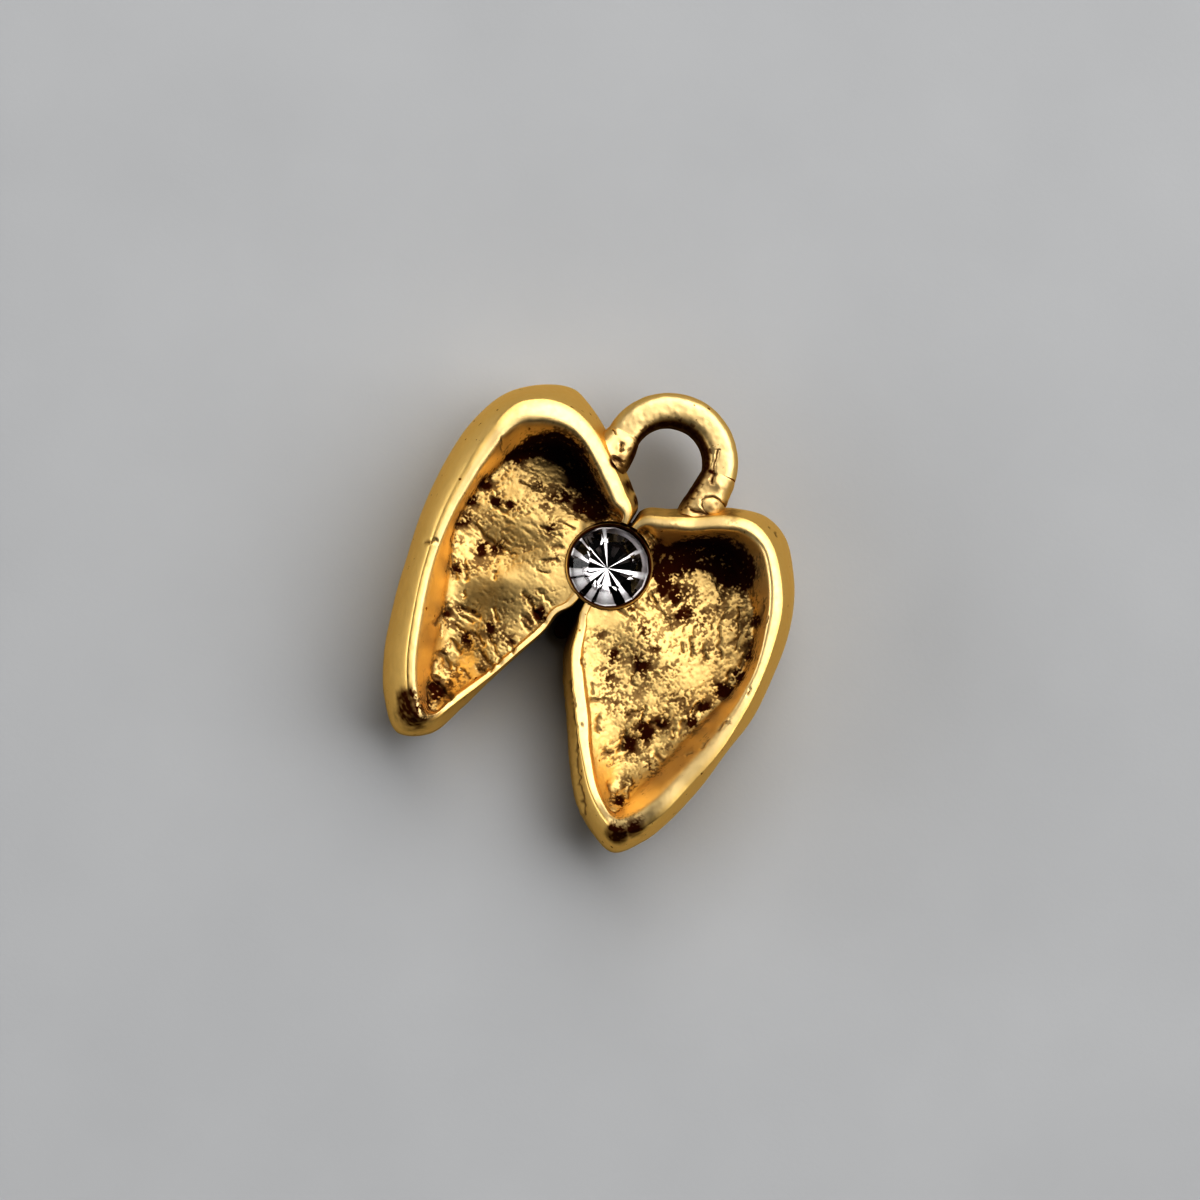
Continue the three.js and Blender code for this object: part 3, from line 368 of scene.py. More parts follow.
def as_seen(places):
    """Plan places as the photograph shows them, brought to one level plane."""
    camera = np.array(CAMERA_PLACE)
    share = (camera[2] - SEEN_HEIGHT) / (camera[2] - places[:, 2])
    return camera[:2] + (places[:, :2] - camera[:2]) * share[:, None]


def closed_curve(points, shares):
    """The closed centripetal curve that the CAD runs through its stations."""
    place = shares * len(points)
    cell = np.floor(place).astype(int)
    along = (place - cell)[:, None]
    before, start, end, after = (points[(cell + step) % len(points)] for step in (-1, 0, 1, 2))
    gaps = [np.linalg.norm(b - a, axis=1, keepdims=True) ** 0.5
            for a, b in ((before, start), (start, end), (end, after))]
    middle = (end - start) / gaps[1]
    leave = ((start - before) / gaps[0] - (end - before) / (gaps[0] + gaps[1]) + middle) * gaps[1]
    arrive = (middle - (after - start) / (gaps[1] + gaps[2]) + (after - end) / gaps[2]) * gaps[1]
    square = -3 * start + 3 * end - 2 * leave - arrive
    cube = 2 * start - 2 * end + leave + arrive
    return start + leave * along + square * along ** 2 + cube * along ** 3


def inside(places, outline):
    """Which places are inside a closed outline."""
    found = np.zeros(len(places), bool)
    for a, b in zip(outline, np.roll(outline, -1, axis=0)):
        between = (a[1] > places[:, 1]) != (b[1] > places[:, 1])
        rise = b[1] - a[1] if b[1] != a[1] else 1e-9
        crossing = a[0] + (b[0] - a[0]) * (places[:, 1] - a[1]) / rise
        found ^= between & (places[:, 0] < crossing)
    return found


def from_line(places, start, end):
    """Distance of each place from a short line."""
    run = end - start
    along = np.clip((places - start) @ run / max(run @ run, 1e-12), 0, 1)
    return np.linalg.norm(places - start - along[:, None] * run, axis=1)


def from_outline(places, outline):
    """Distance from a closed outline, negative inside it."""
    outline = np.array(outline, float)
    sides = zip(outline, np.roll(outline, -1, axis=0))
    nearest = np.min([from_line(places, a, b) for a, b in sides], axis=0)
    return np.where(inside(places, outline), -nearest, nearest)


def stretched_sheet(known, wanted):
    """Heights of a thin sheet bent through the known points."""
    def pull(a, b):
        square = ((a[:, None, :] - b[None, :, :]) ** 2).sum(axis=2) + 1e-9
        return square * np.log(square)

    count = len(known)
    system = np.zeros((count + 3, count + 3))
    system[:count, :count] = pull(known[:, :2], known[:, :2]) + np.eye(count) * 0.02
    system[:count, count:] = np.column_stack([np.ones(count), known[:, :2]])
    system[count:, :count] = system[:count, count:].T
    weights = np.linalg.solve(system, np.concatenate([known[:, 2], np.zeros(3)]))
    plane = np.column_stack([np.ones(len(wanted)), wanted])
    return pull(wanted, known[:, :2]) @ weights[:count] + plane @ weights[count:]


def neighbours_mean(points, edges):
    ends = np.concatenate([edges, edges[:, ::-1]])
    count = np.bincount(ends[:, 0], minlength=len(points))
    totals = [np.bincount(ends[:, 0], points[ends[:, 1], axis], len(points)) for axis in range(3)]
    return np.stack(totals, axis=1) / np.maximum(count, 1)[:, None]


def edges_of(faces):
    pairs = np.sort(np.concatenate([faces[:, [0, 1]], faces[:, [1, 2]], faces[:, [2, 0]]]), axis=1)
    return np.unique(pairs, axis=0)


def normals_of(points, faces):
    corners = points[faces]
    facing = np.cross(corners[:, 1] - corners[:, 0], corners[:, 2] - corners[:, 0])
    totals = np.zeros_like(points)
    for corner in range(3):
        for axis in range(3):
            totals[:, axis] += np.bincount(faces[:, corner], facing[:, axis], len(points))
    return totals / np.maximum(np.linalg.norm(totals, axis=1, keepdims=True), 1e-12)


def outward(points, faces):
    """The same faces, turned so that they all point out of a closed skin."""
    corners = points[faces]
    volume = np.einsum("ij,ij->i", corners[:, 0], np.cross(corners[:, 1], corners[:, 2])).sum()
    return faces if volume > 0 else faces[:, ::-1]


def edge_curves(stations):
    """The widest line, the shoulder and the inner wall's foot, at even steps along the widest line, and at
    each step the land's width, the outer wall's bend and the land's slope."""
    table = [np.array([station[part] for station in stations], float) for part in range(4)]
    fine = np.linspace(0, 1, CURVE_SAMPLES)
    travelled = np.linalg.norm(np.diff(closed_curve(table[0], fine), axis=0), axis=1).cumsum()
    travelled = np.concatenate([[0], travelled])
    shares = np.interp(np.arange(AROUND_WING) / AROUND_WING, travelled / travelled[-1], fine)
    edge, crest, foot = (closed_curve(part, shares) for part in table[:3])
    cell = np.floor(shares * len(stations)).astype(int)
    along = smoothstep(0, 1, shares * len(stations) - cell)[:, None]
    land, bend, tilt = mix(table[3][cell], table[3][(cell + 1) % len(stations)], along).T
    return edge, crest, foot, land, bend, tilt


def wall_rings(back, edge, crest, foot, land, bend, tilt):
    """Rings of corners over the back, the outer wall, the rim's land and the inner wall, and how far each
    corner is from the shoulder (0) to the foot (1)."""
    land_share = np.minimum(land / np.linalg.norm((foot - crest)[:, :2], axis=1), MOST_LAND)
    shoulder_height = crest[:, 2] - tilt * land
    rings = []
    for ring in range(1, BACK_RINGS + 1):
        out = math.sin(ring / BACK_RINGS * math.pi / 2)
        rise = 1 - (1 - out ** BACK_FULLNESS) ** (1 / BACK_FULLNESS)
        level = mix(back, edge, out)
        level[:, 2] = np.maximum(0, mix(-BACK_FLAT, edge[:, 2], rise))
        rings.append(level)
    for ring in range(1, WALL_RINGS + 1):
        turn = ring / WALL_RINGS * math.pi / 2
        level = mix(edge, crest, (1 - max(math.cos(turn), 0) ** bend)[:, None])
        level[:, 2] = mix(edge[:, 2], shoulder_height, math.sin(turn) ** bend)
        rings.append(level)
    towards = [np.zeros(AROUND_WING)] * len(rings)
    for ring in range(1, LAND_RINGS + SLOPE_RINGS + 1):
        over_land = min(1, ring / LAND_RINGS)
        down = max(0, ring - LAND_RINGS) / SLOPE_RINGS
        inward = land_share * over_land + (1 - land_share) * down
        level = mix(crest, foot, inward[:, None])
        top = mix(shoulder_height, crest[:, 2], over_land)
        level[:, 2] = mix(top, foot[:, 2], down ** SLOPE_EASE)
        rings.append(level)
        towards.append(inward)
    return rings, towards


def dish_floor(foot, spots):
    """An even sheet of triangles inside the inner wall's foot, lifted to the modelled hollows and humps. The
    triangles number the foot's corners first and then the sheet's own."""
    low, high = foot[:, :2].min(axis=0), foot[:, :2].max(axis=0)
    rows = np.arange(low[1], high[1], SHEET_STEP * math.sqrt(3) / 2)
    grid = np.array([(x + (index % 2) * SHEET_STEP / 2, y)
                     for index, y in enumerate(rows) for x in np.arange(low[0], high[0], SHEET_STEP)])
    grid = grid[from_outline(grid, foot[::OUTLINE_STRIDE, :2]) < -FLOOR_MARGIN * SHEET_STEP]
    known = np.concatenate([foot[:: AROUND_WING // FOOT_POINTS], np.array(spots, float)])
    away = np.hypot(*grid.T)
    lifted = SKIRT_HEIGHT * (1 - smoothstep(SEAT_CUT_RADIUS, SKIRT_REACH, away))
    lifted *= smoothstep(0.35, 0.85, grid[:, 1] / away)
    floor = np.column_stack([grid, stretched_sheet(known, grid) + lifted])

    plan = np.concatenate([foot[:, :2], grid])
    border = [(i, (i + 1) % AROUND_WING) for i in range(AROUND_WING)]
    _, _, triangles, origins, _, _ = delaunay_2d_cdt([Vector(p) for p in plan], border, [], 1, 1e-7)
    origin = np.array([source[0] for source in origins])
    sheet = origin[np.array(triangles)]

    # All the triangles are turned the way that runs on from the rings
    corners = plan[sheet]
    turned = np.cross(corners[:, 1] - corners[:, 0], corners[:, 2] - corners[:, 0])
    sheet = np.where((turned > 0)[:, None], sheet, sheet[:, ::-1])
    area = np.cross(foot[:, :2], np.roll(foot[:, :2], -1, axis=0)).sum()
    return floor, sheet if area > 0 else sheet[:, ::-1]


def ring_start(ring):
    """The number of a ring's first corner. Corner 0 is the back's middle, and ring 0 is next to it."""
    return 1 + ring * AROUND_WING


def eased(places, faces, foot):
    """The skin with its shoulder, the land's inner edge and the foot eased round, and then the floor."""
    shoulder = BACK_RINGS + WALL_RINGS - 1
    land_end = shoulder + LAND_RINGS
    last_ring = land_end + SLOPE_RINGS
    floor_start = ring_start(last_ring + 1)
    edge_share = np.zeros(len(places))
    for first, last, share in ((shoulder - 2, shoulder + 2, 0.6), (land_end - 2, land_end + 3, 0.8),
                               (last_ring - 3, last_ring, 1.0)):
        edge_share[ring_start(first):ring_start(last + 1)] = share
    from_foot = from_outline(places[floor_start:, :2], foot[::OUTLINE_STRIDE, :2])
    edge_share[floor_start:] = np.exp(-(from_foot / EASED_FOOT_WIDTH) ** 2)
    floor_share = np.zeros(len(places))
    floor_share[floor_start:] = 1.0
    edges = edges_of(faces)
    for part, (rounds, strength) in ((edge_share, EDGE_EASING), (floor_share, FLOOR_EASING)):
        for _ in range(rounds):
            places = mix(places, neighbours_mean(places, edges), part[:, None] * strength)
    return places


def wing_skin(stations, back_middle, spots):
    """One wing as a closed skin. Also how far each corner is from the rim's shoulder (0) to the dish (1)."""
    back = np.array(back_middle)
    edge, crest, foot, land, bend, tilt = edge_curves(stations)
    rings, towards = wall_rings(back, edge, crest, foot, land, bend, tilt)
    floor, sheet = dish_floor(foot, spots)
    places = np.concatenate([back[None], *rings, floor])
    towards = np.concatenate([[0], *towards, np.ones(len(floor))])
    index = np.arange(AROUND_WING)
    after = (index + 1) % AROUND_WING
    faces = [np.column_stack([np.zeros(AROUND_WING, int), 1 + after, 1 + index])]
    for ring in range(len(rings) - 1):
        low_ring, high_ring = ring_start(ring), ring_start(ring + 1)
        faces.append(np.column_stack([low_ring + index, low_ring + after, high_ring + after]))
        faces.append(np.column_stack([low_ring + index, high_ring + after, high_ring + index]))
    faces.append(sheet + ring_start(len(rings) - 1))
    faces = outward(places, np.concatenate(faces))
    return eased(places, faces, foot), faces, towards


def gouged(seen, strokes, ragged):
    """How deep the chisel went at each place, and how much of the place it marks."""
    wandered = seen + ragged * np.column_stack([lumps(seen, 0.17, 5), lumps(seen, 0.17, 6)])
    depth = np.zeros(len(seen))
    cover = np.zeros(len(seen))
    width_share = 1 + 0.5 * lumps(seen, 0.16, 7)
    for x1, y1, x2, y2, half_width, deep in strokes:
        off = from_line(wandered, np.array((x1, y1)), np.array((x2, y2)))
        shape = np.exp(-(off / half_width / width_share) ** 2)
        depth = np.maximum(depth, deep * shape)
        cover = np.maximum(cover, shape)
    return depth, cover


def running(points, half_width, depth):
    """A line through some points as strokes."""
    return [(*start, *end, half_width, depth) for start, end in zip(points, points[1:])]


def spread(seen, spots):
    """How much of each place the strongest of some round soft spots covers. A spot without a share has 1."""
    covered = np.zeros(len(seen))
    for x, y, radius, *strength in spots:
        away = np.hypot(seen[:, 0] - x, seen[:, 1] - y)
        covered = np.maximum(covered, (strength or [1])[0] * np.exp(-(away / radius / SPOT_REACH) ** 2))
    return covered


def ranked(values):
    """Each value's place in order, from 0 to 1."""
    order = np.empty(len(values))
    order[np.argsort(values)] = np.linspace(0, 1, len(values))
    return order


def casting_lumps(places, grain_degrees):
    """The casting's texture: coarse and middle lumps laid along a grain, and fine round ones."""
    cosine, sine = math.cos(math.radians(grain_degrees)), math.sin(math.radians(grain_degrees))
    turned = places[:, :2] @ np.array([[cosine, -sine], [sine, cosine]])
    laid = np.column_stack([turned, places[:, 2]]) / np.array(GRAIN_STRETCH)
    return lumps(laid, GRAIN_SIZES[0], 21), lumps(laid, GRAIN_SIZES[1], 22), lumps(places, GRAIN_SIZES[2], 23)


def painted_shade(places, towards, normals):
    """Painted shade: how dark the crotch, the seam, the undersides of the lower edges and the inner walls'
    foot are made.
    """
    level = places[:, 2]
    crotch = np.exp(-(from_line(places[:, :2], *np.array(CROTCH_ENDS)) / CROTCH_HALF_WIDTH) ** 2)
    crotch *= smoothstep(3.15, 2.9, level)
    seam = np.exp(-(from_line(places[:, :2], *np.array(SEAM_SHADE)) / SEAM_SHADE_HALF_WIDTH) ** 2)
    seam *= smoothstep(3.75, 3.3, level)
    under = smoothstep(0.0, -0.5, normals[:, 1]) * smoothstep(2.9, 2.0, level) * 0.5
    foot_line = smoothstep(0.9, 0.99, towards) * (towards < 1) * 0.4
    return np.maximum.reduce([crotch, seam, under, foot_line])


def wing_relief(places, towards, normals, strokes, ridges, smooth, shades, bowl, grain_degrees):
    """Height of the casting's texture along the normal, how dark the finish and the painted shade make it,
    and how far the polish wore it. Most lumps are taken through the metal in 3-D, so that they don't smear on
    steep walls."""
    seen = as_seen(places)
    facing = smoothstep(-0.35, 0.1, normals[:, 2])

    # The dish's floor, all that is inside the rim, the bowl at the top, painted dark for its shade and its
    # finish, and what was left rough
    floor = smoothstep(0.8, 0.98, towards)
    inner = smoothstep(0.1, 0.3, towards)
    bowl_edge = from_outline(seen, bowl) + 0.15 * lumps(places, 0.35, 11)
    bowl_finish_and_shade = 1 - smoothstep(-0.4, 0.3, bowl_edge)
    rough = floor * (1 - 0.92 * spread(seen, smooth))

    # The dark finish, which fills the lumps' low places first, with the painted shade of the bowls and of the
    # listed zones
    coarse, middle, fine = casting_lumps(places, grain_degrees)
    speckle = ranked(0.35 * coarse + 0.55 * middle + 0.7 * fine + 0.2 * lumps(seen, 0.4, 24))
    patches = 0.34 + 0.3 * lumps(seen, 0.7, 25)
    wandered = seen + 0.12 * np.column_stack([lumps(places, 0.4, 27), lumps(places, 0.4, 28)])
    zone_finish_and_shade = spread(wandered, shades)
    covered = np.clip(rough * patches + 0.75 * zone_finish_and_shade + 0.25 * zone_finish_and_shade ** 6 + bowl_finish_and_shade * inner, 0, 1)
    speckled = smoothstep(-0.25, 0.25, covered - speckle) * (0.4 + 0.6 * covered)
    finish_and_shade = mix(smoothstep(0.08, 0.75, zone_finish_and_shade) * (0.9 + 0.2 * middle), speckled, inner)

    # The lumps' height, the chisel slots and the slow swell
    depth, cover = gouged(seen, strokes, 0.07)
    height = rough * (np.array(GRAIN_HEIGHTS) @ [coarse, middle, fine]) - FINISH_DEPTH * floor * finish_and_shade
    height -= 0.5 * depth * facing
    if ridges:
        height += gouged(seen, ridges, 0.02)[0] * facing
    for seed, (size, rise) in enumerate(SWELL_SIZES_AND_HEIGHTS, 31):
        height += rise * lumps(places, size, seed)

    # The finish with the painted shade of crevices and undersides and a thin wash over the whole floor, and
    # where the polish wore the metal
    darkened = np.maximum(finish_and_shade, cover * 0.75) * facing
    wash = 0.3 * floor
    oxide_and_shade = np.maximum.reduce([darkened, wash, painted_shade(places, towards, normals)])
    worn = smoothstep(0.0, 0.2, towards) * (1 - 0.6 * floor)
    return height, np.clip(oxide_and_shade, 0, 1), worn


def in_metres(place):
    return ((np.array(place) + SHIFT) * MM).tolist()


def placed(name, data):
    """A new object in the scene."""
    thing = bpy.data.objects.new(name, data)
    bpy.context.scene.collection.objects.link(thing)
    return thing


def mesh_object(name, places, faces, material=None):
    """A plain mesh object from places in millimetres about the crystal's axis."""
    mesh = bpy.data.meshes.new(name)
    mesh.from_pydata(((places + SHIFT) * MM).tolist(), [], faces)
    if material:
        mesh.materials.append(material)
    return placed(name, mesh)


def made_plain(thing):
    """Puts what an object's modifiers make into its mesh for good."""
    evaluated = thing.evaluated_get(bpy.context.evaluated_depsgraph_get())
    made = bpy.data.meshes.new_from_object(evaluated)
    thing.modifiers.clear()
    old = thing.data
    thing.data = made
    bpy.data.meshes.remove(old)
    return thing


def places_of(mesh):
    flat = np.empty(len(mesh.vertices) * 3)
    mesh.vertices.foreach_get("co", flat)
    return flat.reshape(-1, 3) / MM - SHIFT


def keep(mesh, name, values):
    mesh.attributes.new(name, "FLOAT", "POINT").data.foreach_set("value", values.astype(np.float32))


def smoothed(mesh, degrees):
    mesh.polygons.foreach_set("use_smooth", [True] * len(mesh.polygons))
    mesh.set_sharp_from_angle(angle=math.radians(degrees))


def round_bar(start, end, width, bottom, top, around):
    """A level bar with round ends, as places and faces."""
    heading = math.atan2(end[1] - start[1], end[0] - start[0])
    outline = []
    for centre, first in ((end, -math.pi / 2), (start, math.pi / 2)):
        for step in range(around + 1):
            angle = heading + first + math.pi * step / around
            outline.append((centre[0] + width / 2 * math.cos(angle), centre[1] + width / 2 * math.sin(angle)))
    count = len(outline)
    places = np.array([(x, y, bottom) for x, y in outline] + [(x, y, top) for x, y in outline])
    faces = [list(range(count))[::-1], list(range(count, 2 * count))]
    faces += [[i, (i + 1) % count, count + (i + 1) % count, count + i] for i in range(count)]
    return places, faces


def cut_away(thing, cutters):
    """Takes the cutters out of a closed mesh for good."""
    for tool in cutters:
        step = thing.modifiers.new("cut", "BOOLEAN")
        step.operation = "DIFFERENCE"
        step.solver = "MANIFOLD"
        step.object = tool
    made_plain(thing)


# Tree building for materials, the world and Geometry Nodes
def linear(code):
    """An sRGB hex colour as a linear one."""
    shares = [int(code[i:i + 2], 16) / 255 for i in (1, 3, 5)]
    return [s / 12.92 if s <= 0.04045 else ((s + 0.055) / 1.055) ** 2.4 for s in shares] + [1.0]


def per_mm(size):
    """A pattern's scale on coordinates in metres, for features of a size in millimetres."""
    return 1000 / size


def add(tree, kind, settings=None, stops=None, **inputs):
    """Adds a node with its settings, with a colour ramp's (position, colour) stops if it has any, and with
    values or links by input name or by number as in _0."""
    made = tree.nodes.new(kind)
    for name, value in (settings or {}).items():
        setattr(made, name, value)
    if stops:
        band = made.color_ramp.elements
        band[0].position, band[0].color = stops[0]
        band[1].position, band[1].color = stops[-1]
        for position, colour in stops[1:-1]:
            band.new(position).color = colour
    for name, value in inputs.items():
        socket = made.inputs[int(name[1:])] if name[0] == "_" else made.inputs[name.replace("_", " ")]
        if isinstance(value, bpy.types.NodeSocket):
            tree.links.new(value, socket)
        else:
            socket.default_value = value
    return made


def grey(value):
    return [value, value, value, 1.0]


def from_stone(tree, where):
    """Each place's level offset and its distance from the crystal's axis, in metres."""
    centred = add(tree, "ShaderNodeVectorMath", {"operation": "SUBTRACT"}, _0=where,
                  _1=in_metres((0, 0, 0))).outputs[0]
    level = add(tree, "ShaderNodeVectorMath", {"operation": "MULTIPLY"}, _0=centred, _1=(1, 1, 0)).outputs[0]
    return level, add(tree, "ShaderNodeVectorMath", {"operation": "LENGTH"}, _0=level).outputs["Value"]


def new_material(name):
    """A material with an empty tree, and the places on its piece in metres."""
    material = bpy.data.materials.new(name)
    material.use_nodes = True
    tree = material.node_tree
    tree.nodes.clear()
    return material, tree, add(tree, "ShaderNodeTexCoord").outputs["Object"]


def gold(name, bright, middle, roughness, grain, dark_inside=None):
    """Antique gold plate over cast metal: warm polished high places, a duller orange where the polish
    didn't reach, and a near-black brown. The brown is oxide in the hollows and also painted shade, where
    the mesh marks it, or on the seat painted shade low in the cup and inside a radius about the crystal."""
    material, tree, where = new_material(name)
    if dark_inside is None:
        # The mesh's mark carries both the oxide and the painted shade
        oxide_and_shade = add(tree, "ShaderNodeAttribute", {"attribute_name": "oxide_and_shade"}).outputs["Fac"]
    else:
        # On the seat, painted shade: near black inside a radius about the crystal and low in the cup, a
        # little darker beyond
        radius = from_stone(tree, where)[1]
        ring = add(tree, "ShaderNodeMapRange", Value=radius, From_Min=dark_inside * MM,
                   From_Max=(dark_inside + 0.05) * MM, To_Min=1.0, To_Max=0.3).outputs[0]
        height = add(tree, "ShaderNodeSeparateXYZ", Vector=where).outputs["Z"]
        bottom, top = SEAT_SHADE_HEIGHTS
        low_cup_shade = add(tree, "ShaderNodeMapRange", Value=height, From_Min=bottom * MM, From_Max=top * MM,
                  To_Min=1.0, To_Max=0.0).outputs[0]
        oxide_and_shade = add(tree, "ShaderNodeMath", {"operation": "MAXIMUM"}, _0=ring, _1=low_cup_shade).outputs[0]
    cloud = add(tree, "ShaderNodeTexNoise", Vector=where, Scale=per_mm(1.6), Detail=3.0).outputs["Fac"]
    mottle = add(tree, "ShaderNodeTexNoise", Vector=where, Scale=per_mm(0.22), Detail=4.0).outputs["Fac"]
    pits = add(tree, "ShaderNodeTexNoise", Vector=where, Scale=per_mm(0.3), Detail=2.0).outputs["Fac"]
    specks = add(tree, "ShaderNodeValToRGB", Fac=pits, stops=[(0.24, grey(1)), (0.28, grey(0))]).outputs[0]
    uneven = add(tree, "ShaderNodeMath", {"operation": "MULTIPLY_ADD"}, _0=mottle, _1=0.5,
                 _2=-0.25).outputs[0]
    dark = add(tree, "ShaderNodeMath", {"operation": "ADD"}, _0=oxide_and_shade, _1=uneven).outputs[0]
    darkened = add(tree, "ShaderNodeMath", {"operation": "MULTIPLY"}, _0=oxide_and_shade, _1=dark).outputs[0]
    oxide_and_shade_level = add(tree, "ShaderNodeMath", {"operation": "MAXIMUM"}, _0=darkened, _1=0.0).outputs[0]
    rubbed = add(tree, "ShaderNodeAttribute", {"attribute_name": "worn"}).outputs["Fac"]
    bare = add(tree, "ShaderNodeMath", {"operation": "SUBTRACT"}, _0=rubbed, _1=0.15).outputs[0]
    paler = add(tree, "ShaderNodeMath", {"operation": "MULTIPLY_ADD", "use_clamp": True}, _0=cloud, _1=0.3,
                _2=bare)
    plate = add(tree, "ShaderNodeMix", {"data_type": "RGBA"}, _0=paler.outputs[0], _6=linear(middle),
                _7=linear(bright))
    brown_share = add(tree, "ShaderNodeValToRGB", Fac=oxide_and_shade_level,
               stops=[(0.0, grey(0)), (0.35, grey(0.55)), (0.8, grey(1))]).outputs[0]
    brown = add(tree, "ShaderNodeMix", {"data_type": "RGBA"}, _0=mottle, _6=linear("#341106"),
                _7=linear("#552A0C"))
    colour = add(tree, "ShaderNodeMix", {"data_type": "RGBA"}, _0=brown_share, _6=plate.outputs[2],
                 _7=brown.outputs[2])
    spotted = add(tree, "ShaderNodeMix", {"data_type": "RGBA"}, _0=specks, _6=colour.outputs[2],
                  _7=linear("#8A5A1C"))
    sheen = add(tree, "ShaderNodeMapRange", Value=mottle, From_Min=0.3, From_Max=0.7,
                To_Min=roughness - 0.05, To_Max=roughness + 0.07).outputs[0]
    dull = add(tree, "ShaderNodeMath", {"operation": "MULTIPLY_ADD"}, _0=oxide_and_shade_level, _1=0.3, _2=sheen).outputs[0]
    skin = add(tree, "ShaderNodeTexNoise", Vector=where, Scale=per_mm(grain), Detail=3.0).outputs["Fac"]
    bump = add(tree, "ShaderNodeBump", Strength=0.35, Distance=0.00001, Height=skin).outputs[0]
    shader = add(tree, "ShaderNodeBsdfPrincipled", Base_Color=spotted.outputs[2], Metallic=1.0,
                 Roughness=dull, Specular_Tint=linear("#FFE3AE"), Normal=bump)
    add(tree, "ShaderNodeOutputMaterial", Surface=shader.outputs[0])
    return material


antique_gold_plate = gold("antique_gold_plate", "#F3D79E", "#EDCB84", 0.42, 0.12)
gold_plated_solder = gold("gold_plated_solder", "#F3D49A", "#E6C27E", 0.44, 0.09)


def clear_crystal_glass():
    """Leaded crystal, ground and polished flat: sharp white glints beside black facets."""
    material, tree, where = new_material("clear_lead_crystal")
    haze = add(tree, "ShaderNodeTexNoise", Vector=where, Scale=per_mm(0.4), Detail=2.0).outputs["Fac"]
    rough = add(tree, "ShaderNodeMapRange", Value=haze, To_Min=0.0, To_Max=0.012).outputs[0]
    tint = add(tree, "ShaderNodeMix", {"data_type": "RGBA"}, _0=haze, _6=linear("#FFFFFF"),
               _7=linear("#F4F5FA"))
    shader = add(tree, "ShaderNodeBsdfPrincipled", Base_Color=tint.outputs[2], Roughness=rough, IOR=1.5,
                 Transmission_Weight=1.0)
    add(tree, "ShaderNodeOutputMaterial", Surface=shader.outputs[0])
    return material


# The star painted on the foil behind the crystal, its rays a painted reflection of the window, as (degrees
# round from +X, half width in degrees, brightness), and the part of the turn where the silver between the
# rays is painted near black
FOIL_RAYS = [
    (16, 8, 1.0), (58, 5, 0.7), (128, 5, 0.9), (167, 3, 0.6), (189, 7, 0.8),
    (220, 8, 1.0), (241, 13, 1.0), (268, 8, 0.8), (295, 19, 1.0), (331, 7, 0.9),
]
FOIL_DARK = (195, 340)
# Which way the bright facets' images lean, half-way between the window and someone looking straight down
FLASH_TILT = (0.09, 0.23, 1.0)


def turn_share(degrees):
    return ((degrees + 180) % 360) / 360


